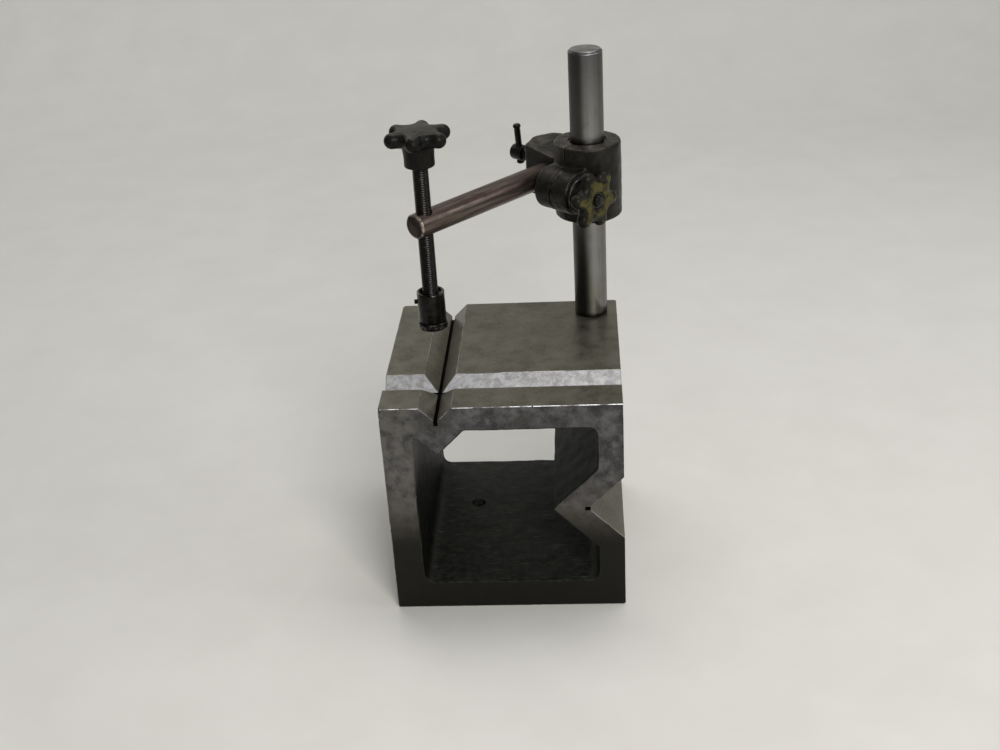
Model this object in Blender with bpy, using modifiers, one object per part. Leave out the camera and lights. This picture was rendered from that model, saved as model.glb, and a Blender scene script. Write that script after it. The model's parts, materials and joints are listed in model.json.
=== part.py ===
"""Hollow V-block with a column, a swivelling bracket, a sliding arm and a screw-down clamp.

Metres, +Z up. The origin is the centre of the block's underside, +Y runs along the
cavity towards the back and +X points to the side with the large V.
"""
import math

import bmesh
import bpy
from mathutils import Vector

MM = 0.001
GAP = 0.3 * MM              # clearance between pieces that touch
OVERCUT = 1.0 * MM          # how far a cutter reaches past the face it opens

# Block
BLOCK_SIZE = 150 * MM
SIDE_WALL = 19.5 * MM
FLOOR = 20 * MM
TOP_WALL = 16.5 * MM
TOP_V_CENTRE = 35 * MM      # from the left side, and from the front face
TOP_V_DEPTH = 10 * MM
SIDE_V_DEPTH = 22.5 * MM
RELIEF_WIDTH = 2 * MM
RELIEF_DEPTH = 3 * MM
TOP_RIB_APEX = 33.3 * MM    # below the top face
SIDE_RIB_APEX = 45.8 * MM   # in from the right side
FLOOR_HOLE_RADIUS = 5 * MM
FLOOR_HOLE = (-26 * MM, 18.5 * MM)

# Column
COLUMN_RADIUS = 11 * MM
COLUMN_INSET = 17.5 * MM    # from the right side and the back face
COLUMN_TOP = 332.5 * MM
SPIGOT_RADIUS = 6 * MM
SPIGOT_LENGTH = 13 * MM

# Bracket, in its own frame: x along the knob's axis, y along the arm, z up the column
BRACKET_TURN = -42.0        # degrees about the column
BODY_RADIUS = 22 * MM
BODY_BOTTOM = 223 * MM
BODY_TOP = 273 * MM
SLEEVE_RADIUS = 12.5 * MM
SLIT_WIDTH = 1.2 * MM
EAR_RADIUS = 14 * MM
EAR_LEFT = -13 * MM
EAR_RIGHT = 14 * MM
EAR_HEIGHT = 246 * MM
STUD_OFFSET = -24 * MM
STUD_HEIGHT = 245 * MM
WASHER_RADIUS = 12 * MM
LUG_BOTTOM = 231 * MM
LUG_TOP = 264 * MM
LUG_FRONT = -12 * MM
LUG_SLOPE = 9.0             # degrees that the lug's top falls towards the ears

# Screws, arm and knobs
THREAD_RADIUS = 4 * MM
THREAD_HOLE = THREAD_RADIUS + GAP
CLAMP_SCREW_RADIUS = 5 * MM
CLAMP_SCREW_HOLE = CLAMP_SCREW_RADIUS + GAP
ARM_RADIUS = 8 * MM
ARM_OFFSET = -27.4 * MM
ARM_HEIGHT = 247 * MM
ARM_FRONT = -129.5 * MM
ARM_BACK = 34 * MM
SCREW_PLACE = -121 * MM     # along the arm
T_SCREW_OFFSET = 9 * MM
T_SCREW_HEIGHT = 248 * MM
T_HEAD_LEFT = -76 * MM
T_HEAD_LENGTH = 10 * MM
T_HEAD_RADIUS = 5.5 * MM
BAR_RADIUS = 2.2 * MM
BAR_LEAN = 5.0              # degrees
BUSH_RADIUS = 5 * MM
TOP_BUSH_RADIUS = 6.3 * MM
KNOB_RADIUS = 20 * MM
TOP_KNOB_RADIUS = 21 * MM
LOBE_RADIUS = 4.8 * MM
HOLLOW_RADIUS = 4.6 * MM
KNOB_EDGE = 2.2 * MM
CLAMP_KNOB_PHASE = 20.0     # degrees to the middle of the first lobe
TOP_KNOB_PHASE = 8.0
SHOE_BASE = 176.6 * MM
SHOE_RIM = 201.2 * MM
SHOE_RADIUS = 8.8 * MM
FOOT_RADIUS = 9.5 * MM
FOOT_THICKNESS = 4.7 * MM
TOP_KNOB_BOTTOM = 284 * MM

# Small fastenings
GRUB_RADIUS = 2.5 * MM
PIN_RADIUS = 1.25 * MM
PIN_REACH = 3 * MM           # past the axis of the stud it locks
PAD_LENGTH = 3.4 * MM
BALL_RADIUS = 2.5 * MM
SPIGOT_SEAT = 6.3 * MM
RETAINER_RADIUS = 1.5 * MM
RETAINER_TURN = 227.0        # degrees about the screw, in the bracket's frame

# Sizes that follow from the driving dimensions
COLUMN_X = BLOCK_SIZE / 2 - COLUMN_INSET
COLUMN_Y = BLOCK_SIZE / 2 - COLUMN_INSET
GRUB_HEIGHT = BLOCK_SIZE - 7 * MM
STUD_PIN_PLACE = EAR_LEFT / 2
BALL_CENTRE = SHOE_BASE + FOOT_THICKNESS + 2.3 * MM
SPIGOT_TOP = SHOE_BASE + FOOT_THICKNESS + 3.3 * MM
SCREW_TIP = BALL_CENTRE + BALL_RADIUS + GAP
RETAINER_HEIGHT = SHOE_RIM - 6.8 * MM
SCREW_TOP = TOP_KNOB_BOTTOM + 17 * MM
KNOB_PIN_HEIGHT = TOP_KNOB_BOTTOM + 5 * MM


def clear_scene():
    for old in list(bpy.data.objects):
        bpy.data.objects.remove(old, do_unlink=True)


def make_collection(name):
    collection = bpy.data.collections.new(name)
    bpy.context.scene.collection.children.link(collection)
    return collection


def make_material(name, colour, roughness, metallic):
    material = bpy.data.materials.new(name)
    material.use_nodes = True
    shader = material.node_tree.nodes["Principled BSDF"]
    shader.inputs["Base Color"].default_value = (*colour, 1.0)
    shader.inputs["Roughness"].default_value = roughness
    shader.inputs["Metallic"].default_value = metallic
    return material


def make_empty(name, location, rotation=(0, 0, 0), parent=None):
    empty = bpy.data.objects.new(name, None)
    empty.empty_display_size = 0.02
    empty.location = location
    empty.rotation_euler = rotation
    empty.parent = parent
    parts.objects.link(empty)
    return empty


def place(obj, location, rotation=(0, 0, 0), parent=None):
    obj.location = location
    obj.rotation_euler = rotation
    obj.parent = parent
    return obj


def link_part(obj, material):
    parts.objects.link(obj)
    obj.data.materials.append(material)
    obj.data.shade_smooth()
    obj.data.set_sharp_from_angle(angle=math.radians(35))
    return obj


def link_cutter(obj):
    cutters.objects.link(obj)
    obj.hide_render = True
    obj.display_type = "WIRE"
    return obj


def bake(obj):
    """Turn an object's evaluated shape into a plain mesh object of the same name."""
    bpy.context.scene.collection.objects.link(obj)
    bpy.context.view_layer.update()
    evaluated = obj.evaluated_get(bpy.context.evaluated_depsgraph_get())
    mesh = bpy.data.meshes.new_from_object(evaluated)
    name = obj.name
    bpy.data.objects.remove(obj, do_unlink=True)
    bm = bmesh.new()
    bm.from_mesh(mesh)
    bmesh.ops.remove_doubles(bm, verts=bm.verts, dist=1e-6)
    bmesh.ops.recalc_face_normals(bm, faces=bm.faces)
    bm.to_mesh(mesh)
    bm.free()
    return bpy.data.objects.new(name, mesh)


def polar(radius, degrees):
    angle = math.radians(degrees)
    return (radius * math.cos(angle), radius * math.sin(angle))


def arc(centre, radius, start, end, steps):
    """Points on an arc, both ends included, angles in degrees."""
    points = []
    for step in range(steps + 1):
        x, y = polar(radius, start + (end - start) * step / steps)
        points.append((centre[0] + x, centre[1] + y))
    return points


def rounded(corners, steps=4):
    """An outline with its corners rounded: each corner is (x, y, radius)."""
    points = []
    for index, (x, y, radius) in enumerate(corners):
        here = Vector((x, y))
        if radius == 0:
            points.append(tuple(here))
            continue
        before = (Vector(corners[index - 1][:2]) - here).normalized()
        after = (Vector(corners[(index + 1) % len(corners)][:2]) - here).normalized()
        half = before.angle(after) / 2
        inward = (before + after).normalized()
        centre = here + inward * radius / math.sin(half)
        facing = math.degrees(math.atan2(-inward.y, -inward.x))
        sweep = 90 - math.degrees(half)
        if before.x * after.y - before.y * after.x > 0:
            sweep = -sweep
        points += arc(centre, radius, facing - sweep, facing + sweep, steps)
    return points


def extruded(name, outlines, thickness, edge=0.0):
    """A flat outline, with any holes as further outlines, thickened about its plane along Z.

    A rounded edge adds its own width outside the outline, within the same thickness.
    """
    curve = bpy.data.curves.new(name, "CURVE")
    curve.dimensions = "2D"
    curve.fill_mode = "BOTH"
    curve.extrude = thickness / 2 - edge
    curve.bevel_depth = edge
    curve.bevel_resolution = 2
    for outline in outlines:
        spline = curve.splines.new("POLY")
        spline.points.add(len(outline) - 1)
        for point, (x, y) in zip(spline.points, outline):
            point.co = (x, y, 0, 1)
        spline.use_cyclic_u = True
    return bake(bpy.data.objects.new(name, curve))


def turned(name, profile, segments=48):
    """A turned solid about Z: profile holds (radius, height) from the top down the outside."""
    mesh = bpy.data.meshes.new(name)
    bm = bmesh.new()
    verts = [bm.verts.new((radius, 0, height)) for radius, height in profile]
    for first, second in zip(verts, verts[1:]):
        bm.edges.new((first, second))
    if profile[0][0] > 0:
        bm.edges.new((verts[-1], verts[0]))
    bm.to_mesh(mesh)
    bm.free()
    obj = bpy.data.objects.new(name, mesh)
    screw = obj.modifiers.new("Turn", "SCREW")
    screw.axis = "Z"
    screw.steps = segments
    screw.render_steps = segments
    screw.use_merge_vertices = True
    screw.merge_threshold = 1e-5
    return bake(obj)


def rod(name, radius, bottom, top, chamfer=0.0, segments=32):
    """A solid round bar between two heights, with both ends chamfered."""
    profile = [
        (0, top),
        (radius - chamfer, top),
        (radius, top - chamfer),
        (radius, bottom + chamfer),
        (radius - chamfer, bottom),
        (0, bottom),
    ]
    if chamfer == 0:
        profile = [(0, top), (radius, top), (radius, bottom), (0, bottom)]
    return turned(name, profile, segments)


def ring(name, outer, inner, bottom, top, chamfer=0.0, segments=48):
    """A tube between two heights, its outer edges chamfered."""
    profile = [(outer - chamfer, top), (outer, top - chamfer), (outer, bottom + chamfer)]
    profile += [(outer - chamfer, bottom), (inner, bottom), (inner, top)]
    if chamfer == 0:
        profile = [(outer, top), (outer, bottom), (inner, bottom), (inner, top)]
    return turned(name, profile, segments)


def box(name, low, high):
    mesh = bpy.data.meshes.new(name)
    bm = bmesh.new()
    bmesh.ops.create_cube(bm, size=1.0)
    low = Vector(low)
    high = Vector(high)
    size = high - low
    bmesh.ops.scale(bm, vec=size, verts=bm.verts)
    bmesh.ops.translate(bm, vec=(low + high) / 2, verts=bm.verts)
    bm.to_mesh(mesh)
    bm.free()
    return bpy.data.objects.new(name, mesh)


def bevel_edges(obj, width, segments=2, angle=30):
    """Round an object's edges and keep the result as its mesh."""
    bevel = obj.modifiers.new("Round edges", "BEVEL")
    bevel.width = width
    bevel.segments = segments
    bevel.limit_method = "ANGLE"
    bevel.angle_limit = math.radians(angle)
    return bake(obj)


def boolean(obj, other, operation):
    modifier = obj.modifiers.new(f"{operation.title()} {other.name}", "BOOLEAN")
    modifier.operation = operation
    modifier.object = other
    modifier.solver = "EXACT"


def combine(obj, others):
    for other in others:
        link_cutter(other)
        boolean(obj, other, "UNION")


def cut(obj, others):
    for other in others:
        link_cutter(other)
        boolean(obj, other, "DIFFERENCE")


# Rotations that lay a piece, modelled along +Z, along another axis
ALONG_X = (0, math.pi / 2, 0)
ALONG_Y = (-math.pi / 2, 0, 0)
PROFILE_UPRIGHT = (math.pi / 2, 0, 0)
PROFILE_ACROSS = (math.pi / 2, 0, math.pi / 2)


def v_groove_outline(half_width, depth, open_by):
    """A V with a narrow relief at its bottom, opening upwards through y = 0."""
    relief = RELIEF_WIDTH / 2
    return [
        (-half_width - open_by, open_by),
        (-relief, relief - depth),
        (-relief, -depth - RELIEF_DEPTH + relief),
        (relief, -depth - RELIEF_DEPTH + relief),
        (relief, relief - depth),
        (half_width + open_by, open_by),
    ]


def build_block():
    half = BLOCK_SIZE / 2
    relief = RELIEF_WIDTH / 2
    v_x = TOP_V_CENTRE - half
    top = BLOCK_SIZE
    v_bottom = top - TOP_V_DEPTH
    side_bottom = half - SIDE_V_DEPTH
    edge = 0.6 * MM
    outer = rounded([
        (-half, 0, edge),
        (half, 0, edge),
        (half, half - SIDE_V_DEPTH, edge),
        (side_bottom + relief, half - relief, 0),
        (side_bottom + relief - RELIEF_DEPTH, half - relief, 0),
        (side_bottom + relief - RELIEF_DEPTH, half + relief, 0),
        (side_bottom + relief, half + relief, 0),
        (half, half + SIDE_V_DEPTH, edge),
        (half, top, edge),
        (v_x + TOP_V_DEPTH, top, edge),
        (v_x + relief, v_bottom + relief, 0),
        (v_x + relief, v_bottom + relief - RELIEF_DEPTH, 0),
        (v_x - relief, v_bottom + relief - RELIEF_DEPTH, 0),
        (v_x - relief, v_bottom + relief, 0),
        (v_x - TOP_V_DEPTH, top, edge),
        (-half, top, edge),
    ], steps=2)
    inner_left = SIDE_WALL - half
    inner_right = half - TOP_WALL
    inner_top = top - TOP_WALL
    rib = top - TOP_RIB_APEX
    side_rib = half - SIDE_RIB_APEX
    side_reach = inner_right - side_rib
    inner = rounded([
        (inner_left, FLOOR, 7 * MM),
        (inner_right, FLOOR, 7 * MM),
        (inner_right, half - side_reach, 4 * MM),
        (side_rib, half, 2 * MM),
        (inner_right, half + side_reach, 4 * MM),
        (inner_right, inner_top, 5 * MM),
        (v_x + inner_top - rib, inner_top, 4 * MM),
        (v_x, rib, 2 * MM),
        (inner_left, rib + v_x - inner_left, 2 * MM),
    ])
    block = extruded("box_block", [outer, inner], BLOCK_SIZE)
    place(block, (0, 0, 0), PROFILE_UPRIGHT)
    groove_outline = v_groove_outline(TOP_V_DEPTH, TOP_V_DEPTH, OVERCUT)
    groove = extruded("cross_groove", [groove_outline], BLOCK_SIZE * 1.1)
    place(groove, (0, TOP_V_CENTRE - half, top), PROFILE_ACROSS)
    spigot_hole = rod("spigot_hole", SPIGOT_RADIUS + GAP, top - SPIGOT_LENGTH - GAP, top + OVERCUT)
    place(spigot_hole, (COLUMN_X, COLUMN_Y, 0))
    floor_hole = rod("floor_hole", FLOOR_HOLE_RADIUS, -OVERCUT, FLOOR + OVERCUT)
    place(floor_hole, (*FLOOR_HOLE, 0))
    grub_hole = rod("grub_hole", GRUB_RADIUS + GAP, 0, COLUMN_INSET, segments=24)
    place(grub_hole, (COLUMN_X, COLUMN_Y, GRUB_HEIGHT), ALONG_Y)
    cut(block, [groove, spigot_hole, floor_hole, grub_hole])
    return link_part(block, cast_iron)


def build_column():
    shoulder = BLOCK_SIZE + GAP
    foot = shoulder - SPIGOT_LENGTH
    profile = [
        (0, COLUMN_TOP),
        (COLUMN_RADIUS - 1.6 * MM, COLUMN_TOP),
        (COLUMN_RADIUS - 0.5 * MM, COLUMN_TOP - 0.5 * MM),
        (COLUMN_RADIUS, COLUMN_TOP - 1.6 * MM),
        (COLUMN_RADIUS, shoulder + 0.6 * MM),
        (COLUMN_RADIUS - 0.6 * MM, shoulder),
        (SPIGOT_RADIUS, shoulder),
        (SPIGOT_RADIUS, foot + 1.0 * MM),
        (SPIGOT_RADIUS - 1.0 * MM, foot),
        (0, foot),
    ]
    column = turned("column", profile, 64)
    place(column, (COLUMN_X, COLUMN_Y, 0))
    return link_part(column, ground_steel)


def build_grub_screw():
    screw = rod("column_grub_screw", GRUB_RADIUS, 7.2 * MM, 15.2 * MM, 0.5 * MM, 24)
    socket = rod("grub_socket", 1.4 * MM, 12.4 * MM, 16 * MM, segments=6)
    place(screw, (COLUMN_X, COLUMN_Y, GRUB_HEIGHT), ALONG_Y)
    place(socket, (COLUMN_X, COLUMN_Y, GRUB_HEIGHT), ALONG_Y)
    cut(screw, [socket])
    return link_part(screw, black_steel)


def build_sleeve():
    sleeve = ring("split_sleeve", SLEEVE_RADIUS, COLUMN_RADIUS + GAP, BODY_BOTTOM + MM, BODY_TOP - MM)
    slot = box("sleeve_slot", (-MM, -BODY_RADIUS, BODY_BOTTOM), (MM, 0, BODY_TOP))
    place(sleeve, (0, 0, 0), parent=bracket_frame)
    place(slot, (0, 0, 0), parent=bracket_frame)
    cut(sleeve, [slot])
    return link_part(sleeve, bronze)


def build_bracket():
    body = ring("bracket_casting", BODY_RADIUS, COLUMN_RADIUS, BODY_BOTTOM, BODY_TOP, 1.2 * MM, 64)
    place(body, (0, 0, 0), parent=bracket_frame)

    lug_outline = rounded([
        (-45.5 * MM, LUG_FRONT, 2 * MM),
        (-8 * MM, LUG_FRONT, 0),
        (-8 * MM, 16 * MM, 0),
        (-30 * MM, 25 * MM, 10 * MM),
        (-48 * MM, 23 * MM, 13 * MM),
        (-51 * MM, 2 * MM, 12 * MM),
    ], steps=6)
    lug = extruded("lug", [lug_outline], LUG_TOP - LUG_BOTTOM + 12 * MM)
    place(lug, (0, 0, (LUG_TOP + LUG_BOTTOM) / 2 + 6 * MM), parent=bracket_frame)
    lug_top = box("lug_top", (-60 * MM, -40 * MM, 0), (40 * MM, 60 * MM, 40 * MM))
    place(lug_top, (-46 * MM, 0, LUG_TOP), (0, math.radians(LUG_SLOPE), 0), bracket_frame)
    cut(lug, [lug_top])

    ear_outline = arc((0, EAR_HEIGHT), EAR_RADIUS, 90, 270, 24)
    ear_outline += [(-STUD_OFFSET - 9 * MM, EAR_HEIGHT - EAR_RADIUS)]
    ear_outline += [(-STUD_OFFSET - 9 * MM, EAR_HEIGHT + EAR_RADIUS)]
    ears = extruded("ears", [ear_outline], EAR_RIGHT - EAR_LEFT)
    ears = bevel_edges(ears, 0.8 * MM)
    ear_middle = (EAR_LEFT + EAR_RIGHT) / 2
    place(ears, (ear_middle, STUD_OFFSET, 0), PROFILE_ACROSS, bracket_frame)
    combine(body, [lug, ears])

    bore_radius = SLEEVE_RADIUS + GAP
    bore = rod("sleeve_bore", bore_radius, BODY_BOTTOM - OVERCUT, BODY_TOP + OVERCUT, segments=64)
    place(bore, (0, 0, 0), parent=bracket_frame)
    slit_low = (-SLIT_WIDTH / 2, STUD_OFFSET - EAR_RADIUS - OVERCUT, BODY_BOTTOM - OVERCUT)
    slit = box("slit", slit_low, (SLIT_WIDTH / 2, 0, BODY_TOP + OVERCUT))
    place(slit, (0, 0, 0), parent=bracket_frame)
    arm_bore = rod("arm_bore", ARM_RADIUS + GAP, LUG_FRONT - OVERCUT, 30 * MM, segments=48)
    place(arm_bore, (ARM_OFFSET, 0, ARM_HEIGHT), ALONG_Y, bracket_frame)
    stud_bore = rod("stud_bore", THREAD_HOLE, EAR_LEFT - OVERCUT, EAR_RIGHT + OVERCUT)
    place(stud_bore, (0, STUD_OFFSET, STUD_HEIGHT), ALONG_X, bracket_frame)
    pin_bore = rod("stud_pin_bore", PIN_RADIUS + GAP, -20 * MM, PIN_REACH + GAP, segments=16)
    place(pin_bore, (STUD_PIN_PLACE, STUD_OFFSET, STUD_HEIGHT), parent=bracket_frame)
    t_bore = rod("t_screw_bore", THREAD_HOLE, -60 * MM, ARM_OFFSET)
    place(t_bore, (0, T_SCREW_OFFSET, T_SCREW_HEIGHT), ALONG_X, bracket_frame)
    spot_face = rod("spot_face", WASHER_RADIUS + 1.0 * MM, EAR_RIGHT, BODY_RADIUS + 5 * MM, segments=48)
    place(spot_face, (0, STUD_OFFSET, STUD_HEIGHT), ALONG_X, bracket_frame)
    cut(body, [bore, slit, arm_bore, stud_bore, pin_bore, t_bore, spot_face])
    return link_part(body, black_iron)


def build_clamp_stud():
    stud = rod("clamp_stud", THREAD_RADIUS, EAR_LEFT + 0.5 * MM, 31.6 * MM, 0.8 * MM)
    place(stud, (0, STUD_OFFSET, STUD_HEIGHT), ALONG_X, bracket_frame)
    pin_hole = rod("stud_pin_hole", PIN_RADIUS + GAP, -20 * MM, PIN_REACH + GAP, segments=16)
    place(pin_hole, (STUD_PIN_PLACE, STUD_OFFSET, STUD_HEIGHT), parent=bracket_frame)
    cut(stud, [pin_hole])
    return link_part(stud, black_steel)


def build_stud_pin():
    pin = rod("stud_pin", PIN_RADIUS, -12.3 * MM, PIN_REACH, 0.3 * MM, 16)
    place(pin, (STUD_PIN_PLACE, STUD_OFFSET, STUD_HEIGHT), parent=bracket_frame)
    return link_part(pin, ground_steel)


def build_washer():
    left = EAR_RIGHT + GAP
    right = EAR_RIGHT + 2 * MM
    washer = ring("clamp_washer", WASHER_RADIUS, THREAD_HOLE, left, right, 0.3 * MM)
    place(washer, (0, 0, 0), ALONG_X, knob_axis)
    return link_part(washer, ground_steel)


def star_outline(radius, edge, phase):
    """Six round lobes joined by hollows, drawn inside the true outline by the rounded edge."""
    count = 6
    lobe = LOBE_RADIUS - edge
    hollow = HOLLOW_RADIUS + edge
    lobe_centre = radius - LOBE_RADIUS
    half_spacing = lobe_centre * math.sin(math.pi / count)
    rise = math.sqrt((lobe + hollow) ** 2 - half_spacing ** 2)
    hollow_centre = lobe_centre * math.cos(math.pi / count) + rise
    meet = math.degrees(math.atan2(half_spacing, rise))
    points = []
    for index in range(count):
        middle = phase + index * 360 / count
        between = middle + 180 / count
        reach = 180 / count + meet
        centre = polar(lobe_centre, middle)
        points += arc(centre, lobe, middle - reach, middle + reach, 10)[1:-1]
        dip = polar(hollow_centre, between)
        points += arc(dip, hollow, between + 180 + meet, between + 180 - meet, 4)
    return points


def build_knob(name, radius, hub_height, thickness, phase):
    """A star knob standing on z = 0: a tapered hub under a six-lobed head."""
    head = extruded(name, [star_outline(radius, KNOB_EDGE, phase)], thickness, KNOB_EDGE)
    hub = turned(f"{name}_hub", [
        (0, thickness / 2),
        (11 * MM, thickness / 2 - 3 * MM),
        (10.5 * MM, -thickness / 2),
        (9.2 * MM, -thickness / 2 - hub_height * 0.5),
        (9.4 * MM, -thickness / 2 - hub_height + 0.8 * MM),
        (8.6 * MM, -thickness / 2 - hub_height),
        (0, -thickness / 2 - hub_height),
    ])
    combine(head, [hub])
    return head, hub


def build_clamp_knob():
    bottom = EAR_RIGHT + 2.3 * MM
    thickness = 8.6 * MM
    hub = 5.4 * MM
    centre = bottom + hub + thickness / 2
    knob, hub_piece = build_knob("clamp_knob", KNOB_RADIUS, hub, thickness, CLAMP_KNOB_PHASE)
    for piece in (knob, hub_piece):
        place(piece, (centre, 0, 0), ALONG_X, knob_axis)
    bore = rod("clamp_knob_bore", BUSH_RADIUS + GAP, bottom - OVERCUT, bottom + 30 * MM)
    place(bore, (0, 0, 0), ALONG_X, knob_axis)
    cut(knob, [bore])
    return link_part(knob, knob_iron)


def build_clamp_knob_bush():
    left = EAR_RIGHT + 2.6 * MM
    right = EAR_RIGHT + 15.6 * MM
    bush = ring("clamp_knob_bush", BUSH_RADIUS, THREAD_HOLE, left, right, segments=32)
    place(bush, (0, 0, 0), ALONG_X, knob_axis)
    return link_part(bush, black_steel)


def build_t_screw():
    tip = ARM_OFFSET - ARM_RADIUS - PAD_LENGTH - 2 * GAP
    collar = T_HEAD_LEFT + T_HEAD_LENGTH
    screw = turned("t_screw", [
        (0, tip),
        (3 * MM, tip),
        (THREAD_RADIUS, tip - MM),
        (THREAD_RADIUS, collar + MM),
        (T_HEAD_RADIUS, collar),
        (T_HEAD_RADIUS, T_HEAD_LEFT + MM),
        (T_HEAD_RADIUS - MM, T_HEAD_LEFT),
        (0, T_HEAD_LEFT),
    ], 32)
    place(screw, (0, 0, 0), ALONG_X, t_axis)
    hole = rod("tommy_bar_hole", BAR_RADIUS + GAP, -10 * MM, 10 * MM, segments=24)
    place(hole, (0, 0, 0), parent=bar_axis)
    cut(screw, [hole])
    return link_part(screw, black_steel)


def build_tommy_bar():
    low = -8.0 * MM
    high = 20.6 * MM
    end = BAR_RADIUS + 0.5 * MM
    bar = turned("tommy_bar", [
        (0, high),
        (end - 0.5 * MM, high),
        (end, high - 0.5 * MM),
        (end, high - 1.6 * MM),
        (BAR_RADIUS, high - 2.2 * MM),
        (BAR_RADIUS, low + 2.2 * MM),
        (end, low + 1.6 * MM),
        (end, low + 0.5 * MM),
        (end - 0.5 * MM, low),
        (0, low),
    ], 24)
    place(bar, (0, 0, 0), parent=bar_axis)
    return link_part(bar, black_steel)


def build_pad():
    top = ARM_OFFSET - ARM_RADIUS - 0.5 * MM
    pad = rod("t_screw_pad", 3.7 * MM, top - PAD_LENGTH + GAP, top, 0.3 * MM, 24)
    place(pad, (0, 0, 0), ALONG_X, t_axis)
    return link_part(pad, bronze)


def build_arm():
    arm = rod("arm", ARM_RADIUS, ARM_FRONT, ARM_BACK, 1.0 * MM, 48)
    place(arm, (ARM_OFFSET, 0, ARM_HEIGHT), ALONG_Y, bracket_frame)
    hole = rod("arm_thread", CLAMP_SCREW_HOLE, -ARM_RADIUS - OVERCUT, ARM_RADIUS + OVERCUT)
    place(hole, (0, 0, ARM_HEIGHT), parent=screw_axis)
    cut(arm, [hole])
    return link_part(arm, arm_steel)


def build_clamp_screw():
    groove = RETAINER_HEIGHT
    screw = turned("clamp_screw", [
        (0, SCREW_TOP),
        (CLAMP_SCREW_RADIUS - 0.8 * MM, SCREW_TOP),
        (CLAMP_SCREW_RADIUS, SCREW_TOP - 0.8 * MM),
        (CLAMP_SCREW_RADIUS, groove + 2.6 * MM),
        (3.8 * MM, groove + 1.9 * MM),
        (3.8 * MM, groove - 1.9 * MM),
        (CLAMP_SCREW_RADIUS, groove - 2.6 * MM),
        (CLAMP_SCREW_RADIUS, SCREW_TIP + 0.8 * MM),
        (CLAMP_SCREW_RADIUS - 0.8 * MM, SCREW_TIP),
        (0, SCREW_TIP),
    ], 32)
    place(screw, (0, 0, 0), parent=screw_axis)
    pin_hole = rod("knob_pin_hole_screw", PIN_RADIUS + GAP, -15 * MM, 15 * MM, segments=16)
    place(pin_hole, (0, 0, KNOB_PIN_HEIGHT), ALONG_X, screw_axis)
    cut(screw, [pin_hole])
    return link_part(screw, black_steel)


def build_top_knob():
    thickness = 9.4 * MM
    hub = 13.6 * MM
    centre = TOP_KNOB_BOTTOM + hub + thickness / 2
    knob, hub_piece = build_knob("top_knob", TOP_KNOB_RADIUS, hub, thickness, TOP_KNOB_PHASE)
    for piece in (knob, hub_piece):
        place(piece, (0, 0, centre), parent=screw_axis)
    bore = rod("top_knob_bore", TOP_BUSH_RADIUS + GAP, TOP_KNOB_BOTTOM - OVERCUT, SCREW_TOP + GAP)
    place(bore, (0, 0, 0), parent=screw_axis)
    pin_hole = rod("knob_pin_hole_hub", PIN_RADIUS + GAP, -15 * MM, 15 * MM, segments=16)
    place(pin_hole, (0, 0, KNOB_PIN_HEIGHT), ALONG_X, screw_axis)
    cut(knob, [bore, pin_hole])
    return link_part(knob, knob_black)


def build_top_knob_bush():
    bottom = TOP_KNOB_BOTTOM + GAP
    bush = ring("top_knob_bush", TOP_BUSH_RADIUS, CLAMP_SCREW_HOLE, bottom, SCREW_TOP - MM, segments=32)
    place(bush, (0, 0, 0), parent=screw_axis)
    pin_hole = rod("knob_pin_hole_bush", PIN_RADIUS + GAP, -15 * MM, 15 * MM, segments=16)
    place(pin_hole, (0, 0, KNOB_PIN_HEIGHT), ALONG_X, screw_axis)
    cut(bush, [pin_hole])
    return link_part(bush, black_steel)


def build_top_knob_pin():
    pin = rod("top_knob_pin", PIN_RADIUS, -8.8 * MM, 8.8 * MM, 0.3 * MM, 16)
    place(pin, (0, 0, KNOB_PIN_HEIGHT), ALONG_X, screw_axis)
    return link_part(pin, ground_steel)


def build_shoe_socket():
    floor = SHOE_BASE + FOOT_THICKNESS + GAP
    socket = turned("shoe_socket", [
        (SHOE_RADIUS - 0.5 * MM, SHOE_RIM),
        (SHOE_RADIUS, SHOE_RIM - 0.5 * MM),
        (SHOE_RADIUS, floor),
        (SPIGOT_SEAT + GAP, floor),
        (SPIGOT_SEAT + GAP, SPIGOT_TOP + GAP),
        (CLAMP_SCREW_HOLE, SPIGOT_TOP + GAP),
        (CLAMP_SCREW_HOLE, SHOE_RIM - 3 * MM),
        (7.0 * MM, SHOE_RIM - 2 * MM),
        (7.0 * MM, SHOE_RIM),
    ])
    place(socket, (0, 0, 0), parent=screw_axis)
    hole = rod("retainer_hole", RETAINER_RADIUS + GAP, 0, 12 * MM, segments=24)
    place(hole, (0, 0, 0), ALONG_X, retainer_axis)
    cut(socket, [hole])
    return link_part(socket, black_steel)


def build_shoe_foot():
    top = SHOE_BASE + FOOT_THICKNESS
    foot = turned("shoe_foot", [
        (0, BALL_CENTRE - BALL_RADIUS - 0.2 * MM),
        (BALL_RADIUS + GAP, BALL_CENTRE - BALL_RADIUS - 0.2 * MM),
        (BALL_RADIUS + GAP, SPIGOT_TOP),
        (SPIGOT_SEAT, SPIGOT_TOP),
        (SPIGOT_SEAT, top),
        (FOOT_RADIUS - 0.7 * MM, top),
        (FOOT_RADIUS, top - 0.7 * MM),
        (FOOT_RADIUS, SHOE_BASE + 0.6 * MM),
        (FOOT_RADIUS - 0.6 * MM, SHOE_BASE),
        (0, SHOE_BASE),
    ])
    place(foot, (0, 0, 0), parent=screw_axis)
    return link_part(foot, black_steel)


def build_ball():
    mesh = bpy.data.meshes.new("thrust_ball")
    bm = bmesh.new()
    bmesh.ops.create_uvsphere(bm, u_segments=20, v_segments=12, radius=BALL_RADIUS)
    bm.to_mesh(mesh)
    bm.free()
    ball = bpy.data.objects.new("thrust_ball", mesh)
    place(ball, (0, 0, BALL_CENTRE), parent=screw_axis)
    return link_part(ball, ground_steel)


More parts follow.
